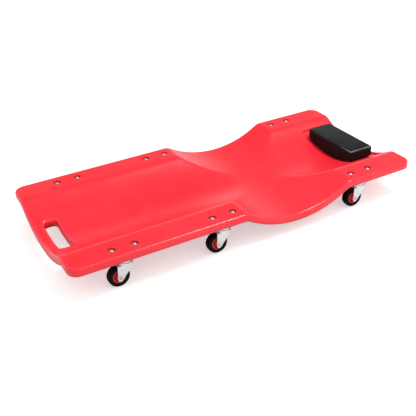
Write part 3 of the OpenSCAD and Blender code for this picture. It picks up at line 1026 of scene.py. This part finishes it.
def fitted(cushion, board):
    """Stretches the filled cover out to the outside of the construction."""
    low = np.array(REST_LOW) + HEM
    high = np.array(REST_HIGH) - HEM
    places = points_of(cushion.data)
    under = np.array([dish_under(board, y) for y in places[:, 1]])
    least, most = places.min(axis=0), places.max(axis=0)
    for axis in (0, 1):
        share = 2 * (places[:, axis] - least[axis]) / (most[axis] - least[axis]) - 1
        share = np.sign(share) * (1 - np.clip(1 - np.abs(share), 0, 1) ** CRISP)
        places[:, axis] = low[axis] + (share + 1) / 2 * (high[axis] - low[axis])
    rise = (places[:, 2] - under) / (most[2] - under)
    rise = 1 - np.clip(1 - rise, 0, None) ** CRISP
    seat = np.array([dish_under(board, y) for y in places[:, 1]])
    places[:, 2] = seat + HEM + rise * (high[2] - seat - HEM)
    move_points(cushion.data, places)


def edge_highlight(x, y, z):
    """How near a point lies to the cover's top edges, where a highlight is painted."""
    side = min(x - REST_LOW.x, REST_HIGH.x - x, y - REST_LOW.y, REST_HIGH.y - y)
    return 1.5 - max(side, REST_HIGH.z - z) / EDGE_BAND


def puffed(source, settings, board):
    """Fills the cover with pressure as cloth, held where it is fixed to its base board."""
    start = points_of(source.data)
    held = source.vertex_groups.new(name="held")
    for i, (_, y, z) in enumerate(start):
        if z - dish_under(board, y) < HELD_HEIGHT:
            held.add([i], 1.0, "REPLACE")
    cloth = modified(source, "CLOTH")
    cloth.settings.quality = 6
    cloth.settings.mass = 0.25
    cloth.settings.tension_stiffness = 80
    cloth.settings.compression_stiffness = 80
    cloth.settings.bending_stiffness = 8
    cloth.settings.use_pressure = True
    cloth.settings.uniform_pressure_force = settings.pressure
    cloth.settings.effector_weights.gravity = 0
    cloth.settings.vertex_group_mass = held.name
    cloth.collision_settings.use_collision = False
    scene = bpy.context.scene
    for number in range(1, CLOTH_FRAMES + 1):
        scene.frame_set(number)
    graph = bpy.context.evaluated_depsgraph_get()
    step = points_of(source.evaluated_get(graph).data) - start
    scene.frame_set(1)
    source.modifiers.remove(cloth)
    far = np.linalg.norm(step, axis=1, keepdims=True)
    capped = start + step * np.minimum(1.0, settings.swell / np.maximum(far, 1e-9))
    low = np.array(REST_LOW) + (HEM, HEM, 0.0)
    move_points(source.data, np.clip(capped, low, np.array(REST_HIGH) - HEM))


class CREEPER_OT_headrest(bpy.types.Operator):
    """Upholster the headrest: a vinyl cover filled out over foam, on its base board"""

    bl_idname = "creeper.headrest"
    bl_label = "Headrest"

    def execute(self, context):
        settings = context.scene.creeper_headrest
        board = context.scene.creeper_board
        block = placed("headrest_block", rest_block(board, settings.slack))
        modified(block, "REMESH", mode="VOXEL", voxel_size=settings.voxel)
        soft = baked(block, "headrest_soft")
        puffed(soft, settings, board)
        modified(soft, "SMOOTH", factor=0.3, iterations=1)
        modified(soft, "SUBSURF", levels=2, render_levels=2)
        cushion = baked(soft, "headrest_cushion")
        fitted(cushion, board)
        # Marks where a highlight is painted along the cover's top edges.
        add_mark(cushion.data, "edge", edge_highlight)
        cushion.data.shade_smooth()
        vinyl = vinyl_material(settings)
        finished(cushion, "root", ["headrest_cover", "headrest_foam"], vinyl)
        base = placed("headrest_base", rest_block(board, BASE_INSET, settings.base_thickness))
        smooth(base.data)
        finished(base, "root", ["headrest_board"], ply_material())
        return {"FINISHED"}


# ---- Fasteners -------------------------------------------------------------------


def scatter_tree():
    """Puts one piece on every point, at each point's own place."""
    tree, g, ends, out = new_group(
        "Set On Points",
        "GeometryNodeTree",
        [
            ("Geometry", "NodeSocketGeometry", None),
            ("Piece", "NodeSocketObject", None),
            ("Piece Scale", "NodeSocketFloat", 1.0),
            ("Turn Step", "NodeSocketFloat", 0.0),
            ("Finish", "NodeSocketMaterial", None),
        ],
        [("Geometry", "NodeSocketGeometry")],
    )
    piece = g.add("GeometryNodeObjectInfo", {"Object": ends["Piece"]}).outputs["Geometry"]
    number = g.add("GeometryNodeInputIndex").outputs[0]
    turn = g.add("ShaderNodeCombineXYZ", {"Z": g.math("MULTIPLY", number, ends["Turn Step"])})
    values = {
        "Points": ends["Geometry"],
        "Instance": piece,
        "Rotation": turn.outputs[0],
        "Scale": ends["Piece Scale"],
    }
    instances = g.add("GeometryNodeInstanceOnPoints", values).outputs[0]
    g.feed(out["Geometry"], realized(g, instances, ends["Finish"]))
    return tree


def revolved(name, profile, count=40):
    """A piece from points (radius, z) turned about the Z axis."""
    skin = Skin()
    skin.turned(profile, count)
    return placed(name, skin.mesh(name))


def crossed(piece, top, depth, span):
    """Cuts a cross recess into the top of a piece."""

    def build(form):
        for turn in (0, math.pi / 2):
            place = Matrix.Translation((0, 0, top)) @ Matrix.Rotation(turn, 4, "Z")
            size = Matrix.Diagonal((span, 0.22 * span, 2 * depth, 1))
            bmesh.ops.create_cube(form, size=1.0, matrix=place @ size)

    tool = placed("cross", shaped("cross", build))
    modified(piece, "BOOLEAN", operation="DIFFERENCE", solver="EXACT", use_self=True, object=tool)
    result = baked(piece, piece.name + "_cut")
    bpy.data.objects.remove(tool)
    return result


def dome(radius, height, base, steps=7):
    """A round head's profile, from its rim to its top."""
    ball = (radius * radius + height * height) / (2 * height)
    reach = math.asin(min(radius / ball, 1.0))
    turns = [reach * (1 - i / steps) for i in range(steps + 1)]
    return [(ball * math.sin(a), base + height - ball + ball * math.cos(a)) for a in turns]


def spread(name, tree, piece, places, z, material, turn=0.0):
    """Sets copies of a piece at places, all at one height, as one mesh."""
    points = bpy.data.meshes.new(name + "_points")
    points.from_pydata([(x, y, z) for x, y in places], [], [])
    values = {"Piece": piece, "Turn Step": turn, "Finish": material}
    result = grown(name, tree, points, values)
    bpy.data.objects.remove(piece)
    smooth(result.data)
    return result


class CREEPER_OT_fasteners(bpy.types.Operator):
    """Set the deck bolts in their wells, with their washers and lock nuts"""

    bl_idname = "creeper.fasteners"
    bl_label = "Fasteners"

    def execute(self, context):
        settings = context.scene.creeper_fasteners
        tint = Vector(settings.colour)
        # The last colour is the painted shade on the heads' flanks, red like the well that they
        # reflect.
        steel = metal_material("fastener_steel", tint, 0.26, 900.0, 0.6, (0.30, 0.0, 0.006))
        tree = scatter_tree()
        places = bolt_places(settings)
        bolt_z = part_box("deck_bolts")[0].z
        nut_low, nut_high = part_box("lock_nuts")
        washer_low, washer_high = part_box("bolt_washers")

        shaft = settings.shaft_radius - 0.00005
        under = washer_high.z - bolt_z
        rim = settings.head_radius
        profile = [(0.0, 0.0), (shaft - 0.0006, 0.0), (shaft, 0.0006), (shaft, under)]
        profile += [(rim - 0.0002, under)]
        profile += dome(rim, settings.head_height, under)
        bolt = revolved("bolt", profile)
        bolt = crossed(bolt, under + settings.head_height, 0.0014, 1.05 * rim)
        bolts = spread("bolts", tree, bolt, places, bolt_z, steel, turn=1.1)

        def flank(x, y, z):
            """How far out on a bolt's head a point lies, where shade is painted, red as the well
            reflected there.
            """
            reach = min(math.hypot(x - px, y - py) for px, py in places)
            seat = washer_high.z - 0.0001
            return 0.85 * eased((reach / rim - 0.5) / 0.4) if z > seat else 0.0

        add_mark(bolts.data, "recess", flank)
        finished(bolts, "root", ["deck_bolts"])

        hole = settings.shaft_radius + 0.0003
        outer = rim + 0.0008
        thick = washer_high.z - washer_low.z
        profile = [(hole, 0.0), (outer, 0.0), (outer, thick - 0.0002), (outer - 0.0002, thick)]
        profile += [(hole, thick), (hole, 0.0)]
        washer = revolved("washer", profile)
        washers = spread("washers", tree, washer, places, washer_low.z, steel)
        finished(washers, "root", ["bolt_washers"])

        nut = nut_piece(settings, nut_high.z - nut_low.z)
        nuts = spread("nuts", tree, nut, places, nut_low.z, steel, turn=0.7)
        finished(nuts, "root", ["lock_nuts"])
        clad(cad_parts["headrest_screws"].data, steel)
        return {"FINISHED"}


def nut_piece(settings, height):
    """A hexagon lock nut with chamfered corners and a round collar below."""
    count = 48
    hole = settings.shaft_radius
    flat = 1.66 * hole
    corner = flat / math.cos(math.pi / 6)
    collar = 0.0012

    def hexagon(limit):
        """A hexagon whose corners are cut off by a circle."""
        points = []
        for i in range(count):
            a = 2 * math.pi * i / count
            fold = (a % (math.pi / 3)) - math.pi / 6
            r = min(flat / math.cos(fold), limit)
            points.append((r * math.cos(a), r * math.sin(a)))
        return points

    def turn(radius):
        return circle_loop((0, 0), radius, count)

    rings = (
        (turn(hole), height),
        (hexagon(flat * 1.01), height),
        (hexagon(corner), height - 0.0005),
        (hexagon(corner), collar + 0.0005),
        (hexagon(flat * 1.01), collar),
        (turn(1.5 * hole), collar - 0.0001),
        (turn(1.5 * hole), 0.0003),
        (turn(1.4 * hole), 0.0),
        (turn(hole), 0.0),
        (turn(hole), height),
    )
    skin = Skin()
    skin.wall([ring for ring, _ in rings], [-z for _, z in rings])
    return placed("nut", skin.mesh("nut"))


# ---- The casters -----------------------------------------------------------------

def fork_mesh(settings, middle, axle):
    """A pressed fork: a crown plate whose sides turn down into two legs."""
    top = FORK_HIGH.z
    bend = settings.bend_radius
    trail = middle.x - axle.x
    crown_r = FORK_HIGH.x - KINGPINS["foot_left"].x
    leg_y = halves("foot_left_hub").y + LEG_CLEAR
    tip_x, tip_z = 0.0007 - trail, FORK_LOW.z + FORK_TIP
    heel_x = tip_x - FORK_TIP
    back = -(trail + 0.0035)
    elbow_x, elbow_z = 0.0046, axle.z + 0.0145
    front = math.sqrt(crown_r**2 - leg_y**2)
    slope = math.atan2(elbow_z - tip_z + 0.004, elbow_x - tip_x - 0.005)
    touch_x = tip_x + FORK_TIP * math.sin(slope)
    touch_z = tip_z - FORK_TIP * math.cos(slope)

    def between(z, low, high, start, end):
        return start + (end - start) * (z - low) / (high - low)

    def reach(z):
        """How far back and forward a leg reaches at a height."""
        half = math.sqrt(max(FORK_TIP**2 - (tip_z - z) ** 2, 0.0))
        rear = tip_x - half if z < tip_z else between(z, tip_z, top, heel_x, back)
        if z < touch_z:
            return rear, tip_x + half
        if z < elbow_z:
            return rear, between(z, touch_z, elbow_z, touch_x, elbow_x)
        return rear, between(z, elbow_z, top, elbow_x, front)

    heights = [tip_z - FORK_TIP * math.cos(math.radians(6 + 14 * i)) for i in range(7)]
    start = heights[-1]
    heights += [start + (top - bend - start) * i / 14 for i in range(1, 15)]
    path = [(leg_y, z) for z in heights]
    for a in (math.radians(22.5 * i) for i in range(1, 5)):
        path.append((leg_y - bend * (1 - math.cos(a)), top - bend * (1 - math.sin(a))))
    path += [((leg_y - bend) * (1 - i / 5), top) for i in range(1, 6)]
    path += [(-y, z) for y, z in reversed(path[:-1])]

    skin = Skin()
    across = 14
    for y, z in path:
        rear, ahead = reach(min(z, top))
        if z >= top - 1e-9:
            ahead = math.sqrt(crown_r**2 - y * y)
        xs = [rear + (ahead - rear) * k / across for k in range(across + 1)]
        skin.points += [(middle.x + x, middle.y + y, z) for x in xs]
    width = across + 1
    for a in (i * width + k for i in range(len(path) - 1) for k in range(across)):
        skin.faces.append((a, a + 1, a + 1 + width, a + width))
    return skin.mesh("fork_sheet")


def fork_piece(name, settings, middle, axle):
    """A fork with the thickness of its sheet, joined to its race."""
    sheet = placed(name + "_sheet", fork_mesh(settings, middle, axle))
    up = max(sheet.data.polygons, key=lambda p: p.center.z).normal.z
    offset = -1.0 if up > 0 else 1.0
    modified(sheet, "SOLIDIFY", thickness=settings.sheet, offset=offset, use_even_offset=True)
    limit = math.radians(50)
    modified(sheet, "BEVEL", width=0.0005, segments=2, limit_method="ANGLE", angle_limit=limit)
    pressed = baked(sheet, name + "_pressed")

    def build(form):
        form.from_mesh(pressed.data)
        form.from_mesh(race_cup(middle))

    fork = placed(name, shaped(name, build))
    bpy.data.objects.remove(pressed)
    smooth(fork.data, 32.0)
    return fork


def race_cup(middle):
    """The crown's round race, whose lip stands up round the bearing."""
    top = FORK_HIGH.z
    lip = top + RACE_LIP
    outer = FORK_HIGH.x - KINGPINS["foot_left"].x - 0.00005
    inner = PLATE_HALF_WIDTH + 0.00035
    bore = inner - 0.0040
    profile = [(inner, top - 0.0001), (inner, lip - 0.0003), (inner + 0.0002, lip)]
    profile += [(outer - 0.0003, lip), (outer, lip - 0.0003), (outer, top - 0.0012)]
    profile += [(outer - 0.0006, top - 0.0021), (outer - 0.0016, top - 0.0024)]
    profile += [(bore, top - 0.0022), (bore, top - 0.0001)]
    skin = Skin()
    skin.turned(profile + profile[:1], 72, middle.xy)
    return skin.mesh("race_cup")


def mirrored(outline):
    """An outline (radius, y), and its mirror image on the other side."""
    return outline + [(radius, -y) for radius, y in reversed(outline)]


def tyre_profile(tread_r, hub_r, half):
    """A tyre's section as (radius, y): stepped side walls, shoulders and tread."""
    shoulder = 0.0030
    step_r = hub_r + 0.0034
    side = [(hub_r, half - 0.0013), (hub_r + 0.0004, half - 0.0008)]
    side += [(step_r - 0.0006, half - 0.0007), (step_r - 0.0001, half - 0.0006)]
    side += [(step_r + 0.0003, half - 0.00005), (step_r + 0.0010, half)]
    side += arc(tread_r - 0.0003 - shoulder, half - shoulder, shoulder, 90, 14, 7)
    return mirrored(side + [(tread_r - 0.00005, half * 0.45), (tread_r, half * 0.22)])


def hub_profile(hub_r, bore_r, boss_half, half):
    """A hub's section as (radius, y): bore, boss, thin web and rim."""
    web = 0.0024
    boss_r = bore_r + 0.003
    rim = half - 0.001
    outline = [(bore_r, boss_half - 0.0004), (bore_r + 0.0004, boss_half)]
    outline += [(boss_r - 0.0004, boss_half), (boss_r, boss_half - 0.0004)]
    outline += [(boss_r + 0.0006, web + 0.0016), (boss_r + 0.0018, web + 0.0003)]
    outline += [(hub_r - 0.0046, web), (hub_r - 0.0034, web + 0.0006)]
    outline += [(hub_r - 0.0030, web + 0.0022), (hub_r - 0.0026, rim - 0.0004)]
    outline += [(hub_r - 0.0021, rim), (hub_r - 0.0006, rim), (hub_r - 0.00005, rim - 0.0005)]
    return mirrored(outline)


def rivet_profile(head, half):
    """An axle rivet's section as (radius, y), with a hollow in each end."""
    pin = head - 0.0016
    outline = [(0.0, half - 0.0032), (DIMPLE - 0.0002, half - 0.0030), (DIMPLE, half - 0.0004)]
    outline += [(DIMPLE + 0.0004, half), (head - 0.0008, half - 0.0001), (head, half - 0.0009)]
    return mirrored(outline + [(head, half - 0.0015), (pin, half - 0.0015)])


def add_ring_mark(mesh, name, middle, radii, sides, amount=1.0):
    """Marks points whose reach from the axle and along it both lie between limits."""

    def rule(x, y, z):
        reach = math.hypot(x - middle.x, z - middle.z)
        side = abs(y - middle.y)
        inside = radii[0] < reach < radii[1] and sides[0] < side < sides[1]
        return amount if inside else 0.0

    add_mark(mesh, name, rule)


def rib(middle, angle, inner, outer, low, high, thick):
    """A straight tapered rib from boss to rim on one face of a hub's web."""
    c, s = math.cos(angle), math.sin(angle)
    corners = []
    for y, taper in ((low, 1.0), (high, 0.7)):
        for r, side in ((inner, -1), (outer, -1), (outer, 1), (inner, 1)):
            across = side * taper * thick / 2
            x, z = r * c - across * s, r * s + across * c
            corners.append((middle.x + x, middle.y + y, middle.z + z))
    sides = [(i, (i + 1) % 4, (i + 1) % 4 + 4, i + 4) for i in range(4)]
    return corners, [(0, 3, 2, 1), (4, 5, 6, 7), *sides]


class CREEPER_OT_casters(bpy.types.Operator):
    """Make the six swivel casters: forks, axles, hubs, tyres, balls and plates"""

    bl_idname = "creeper.casters"
    bl_label = "Casters"

    def execute(self, context):
        settings = context.scene.creeper_casters
        steel = bpy.data.materials["fastener_steel"]
        zinc = metal_material("zinc_plate", Vector(settings.zinc_colour), 0.34, 420.0)
        bearing = metal_material("bearing_steel", Vector((0.62, 0.62, 0.60)), 0.16, 1400.0)
        red = hub_material(settings)
        rubber = tyre_material(settings)
        tree = scatter_tree()
        for name in CASTERS:
            middle = KINGPINS[name]
            axle = centre(f"{name}_hub")
            self.make_fork(name, settings, middle, axle, zinc)
            self.make_wheel(name, axle, red, rubber)
            self.make_balls(name, settings, middle, tree, bearing)
            for part, material in {"plate": zinc, "kingpin": steel, "sleeve": bearing}.items():
                clad(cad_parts[f"{name}_{part}"].data, material)
        return {"FINISHED"}

    def make_fork(self, name, settings, middle, axle, zinc):
        """The fork and its axle rivet, which turn about the kingpin."""
        fork = fork_piece(f"{name}_yoke", settings, middle, axle)
        finished(fork, f"{name}_caster", [f"{name}_fork"], zinc)
        head, half = halves(f"{name}_axle").xy
        mesh = lathe(rivet_profile(head, half), axle, 40, closed=False).mesh("rivet")
        # Marks the hollow in each end of the rivet, where shade is painted.
        add_ring_mark(mesh, "recess", axle, (-1, DIMPLE + 0.0001), (-1, half - 0.0003))
        rivet = placed(f"{name}_rivet", mesh)
        smooth(rivet.data)
        finished(rivet, f"{name}_caster", [f"{name}_axle"], zinc)

    def make_wheel(self, name, axle, red, rubber):
        """The tyre and the hub, which roll about the axle."""
        tread_r, half = halves(f"{name}_tyre").xy
        hub_r, boss_half = halves(f"{name}_hub").xy
        bore_r = halves(f"{name}_sleeve").x + BORE_CLEAR
        mesh = lathe(tyre_profile(tread_r, hub_r, half), axle).mesh("tyre")
        add_ring_mark(mesh, "wall", axle, (hub_r - 0.001, hub_r + 0.004), (half - 0.0016, 1))
        tyre = placed(f"{name}_tread", mesh)
        smooth(tyre.data)
        finished(tyre, f"{name}_wheel", [f"{name}_tyre"], rubber)

        skin = lathe(hub_profile(hub_r, bore_r, boss_half, half), axle)
        inner, outer = bore_r + 0.0026, hub_r - 0.0024
        for i in range(RIB_COUNT):
            angle = 2 * math.pi * (i + 0.5) / RIB_COUNT
            for side in (-1, 1):
                low, high = side * 0.0015, side * (half - 0.0030)
                skin.patch(*rib(axle, angle, inner, outer, low, high, 0.0016))
        mesh = skin.mesh("hub")
        # Marks the web inside the rim, where shade is painted.
        add_ring_mark(mesh, "recess", axle, (-1, outer), (-1, half - 0.0016), 0.8)
        hub = placed(f"{name}_hub_moulding", mesh)
        smooth(hub.data)
        finished(hub, f"{name}_wheel", [f"{name}_hub"], red)

    def make_balls(self, name, settings, middle, tree, bearing):
        """The ring of balls between plate and crown."""
        size = halves(f"{name}_balls")
        mesh = shaped(
            "ball", lambda form: bmesh.ops.create_icosphere(form, subdivisions=3, radius=size.z)
        )
        places = circle_loop(middle.xy, size.x - size.z, settings.ball_count)
        height = centre(f"{name}_balls").z
        balls = spread(f"{name}_race_balls", tree, placed("ball", mesh), places, height, bearing)
        balls.data.shade_smooth()
        finished(balls, "root", [f"{name}_balls"])


# ---- The stage -------------------------------------------------------------------


def seen_by_camera(g):
    """1 for rays that come straight from the camera, and 0 for those that light or mirror."""
    rays = g.add("ShaderNodeLightPath").outputs
    return g.math("MAXIMUM", rays["Is Camera Ray"], rays["Is Transmission Ray"])


def stage_material(settings):
    """A pale floor that looks white and still takes the creeper's shadow."""
    material, g, shader, vector = new_material("floor")
    material.node_tree.nodes.remove(shader)
    tint = Vector(settings.floor_colour)
    cloud = g.noise(vector, 1.3, 2.0, 0.5)
    base = g.mix(cloud, rgba(tint * 0.985), rgba(tint))
    matt = g.add("ShaderNodeBsdfDiffuse", {"Color": base}).outputs[0]
    strength = g.math("MULTIPLY", seen_by_camera(g), settings.floor_glow)
    glow = g.add("ShaderNodeEmission", {"Color": (1, 1, 1, 1), "Strength": strength}).outputs[0]
    both = g.add("ShaderNodeAddShader", {0: matt, 1: glow})
    g.feed(material.node_tree.nodes["Material Output"].inputs["Surface"], both.outputs[0])
    return material


def make_world(settings):
    """Even light from all round, white where it is seen."""
    world = bpy.data.worlds.new("studio")
    bpy.context.scene.world = world
    world.use_nodes = True
    world.node_tree.nodes.clear()
    g = Graph(world.node_tree)
    way = g.add("ShaderNodeTexCoord").outputs["Generated"]
    rise = g.math("ABSOLUTE", g.add("ShaderNodeSeparateXYZ", {"Vector": way}).outputs["Z"])
    mirrored = g.ramp(rise, 0.1, 0.48, settings.haze_mirrored, settings.sky_mirrored)
    glossy = g.add("ShaderNodeLightPath").outputs["Is Glossy Ray"]
    strength = g.ramp(glossy, 0.0, 1.0, settings.sky_strength, mirrored)
    strength = g.math("MAXIMUM", strength, seen_by_camera(g))
    values = {"Color": (1, 1, 1, 1), "Strength": strength}
    g.add("ShaderNodeOutputWorld", {"Surface": g.add("ShaderNodeBackground", values).outputs[0]})


def add_lamp(name, place, size, power):
    """A rectangular lamp aimed at the board."""
    data = bpy.data.lights.new(name, "AREA")
    data.shape = "RECTANGLE"
    data.size, data.size_y = size
    data.energy = power
    lamp = bpy.data.objects.new(name, data)
    bpy.context.collection.objects.link(lamp)
    aim = (Vector(LAMP_TARGET) - Vector(place)).to_track_quat("-Z", "Y")
    lamp.matrix_world = Matrix.Translation(place) @ aim.to_matrix().to_4x4()


def add_camera():
    """Stands at the foot end's left, looking down on the board."""
    data = bpy.data.cameras.new("camera")
    data.sensor_width = 36.0
    data.lens = CAMERA_LENS
    data.clip_end = 50.0
    camera = bpy.data.objects.new("camera", data)
    bpy.context.collection.objects.link(camera)
    turn, fall, roll = (math.radians(angle) for angle in CAMERA_ANGLES)
    flat = Vector((-math.sin(turn), math.cos(turn), 0.0)) * math.cos(fall)
    ahead = flat - Vector((0.0, 0.0, math.sin(fall)))
    side = Vector((math.cos(turn), math.sin(turn), 0.0))
    up = side.cross(ahead)
    right = math.cos(roll) * side + math.sin(roll) * up
    above = -math.sin(roll) * side + math.cos(roll) * up
    axes = Matrix((right, above, -ahead)).transposed().to_4x4()
    camera.matrix_world = Matrix.Translation(CAMERA_PLACE) @ axes
    bpy.context.scene.camera = camera


class CREEPER_OT_stage(bpy.types.Operator):
    """Set up the floor, the lamps and the camera"""

    bl_idname = "creeper.stage"
    bl_label = "Stage"

    def execute(self, context):
        settings = context.scene.creeper_stage
        context.scene.view_settings.view_transform = "Standard"
        mesh = shaped(
            "floor",
            lambda form: bmesh.ops.create_grid(form, x_segments=4, y_segments=4, size=FLOOR_HALF),
        )
        floor = placed("floor", mesh)
        clad(mesh, stage_material(settings))
        make_world(settings)
        add_lamp("key", (0.95, -0.5, 2.3), (0.9, 0.7), settings.key_power)
        add_lamp("strip", (0.9, -1.3, 1.65), (1.8, 0.14), settings.strip_power)
        add_camera()
        return {"FINISHED"}


# ---- Panel and registration ------------------------------------------------------

STEPS = (
    CREEPER_OT_stage,
    CREEPER_OT_board,
    CREEPER_OT_headrest,
    CREEPER_OT_fasteners,
    CREEPER_OT_casters,
)


class CREEPER_PT_panel(bpy.types.Panel):
    """Lists the creeper's pieces in build order"""

    bl_label = "Mechanics Creeper"
    bl_idname = "CREEPER_PT_panel"
    bl_space_type = "VIEW_3D"
    bl_region_type = "UI"
    bl_category = "Creeper"

    def draw(self, context):
        for step in STEPS:
            self.layout.operator(step.bl_idname)


CLASSES = (*SETTINGS.values(), *STEPS, CREEPER_PT_panel)


def register():
    for item in CLASSES:
        bpy.utils.register_class(item)
    for name, settings in SETTINGS.items():
        setattr(bpy.types.Scene, name, PointerProperty(type=settings))


def unregister():
    for name in SETTINGS:
        delattr(bpy.types.Scene, name)
    for item in reversed(CLASSES):
        bpy.utils.unregister_class(item)


def corners(box):
    """A box's two corners as plain lists of numbers."""
    return [[float(value) for value in corner] for corner in box]


def main():
    register()
    for step in STEPS:
        group, name = step.bl_idname.split(".")
        getattr(getattr(bpy.ops, group), name)()


if __name__ == "__main__":
    main()
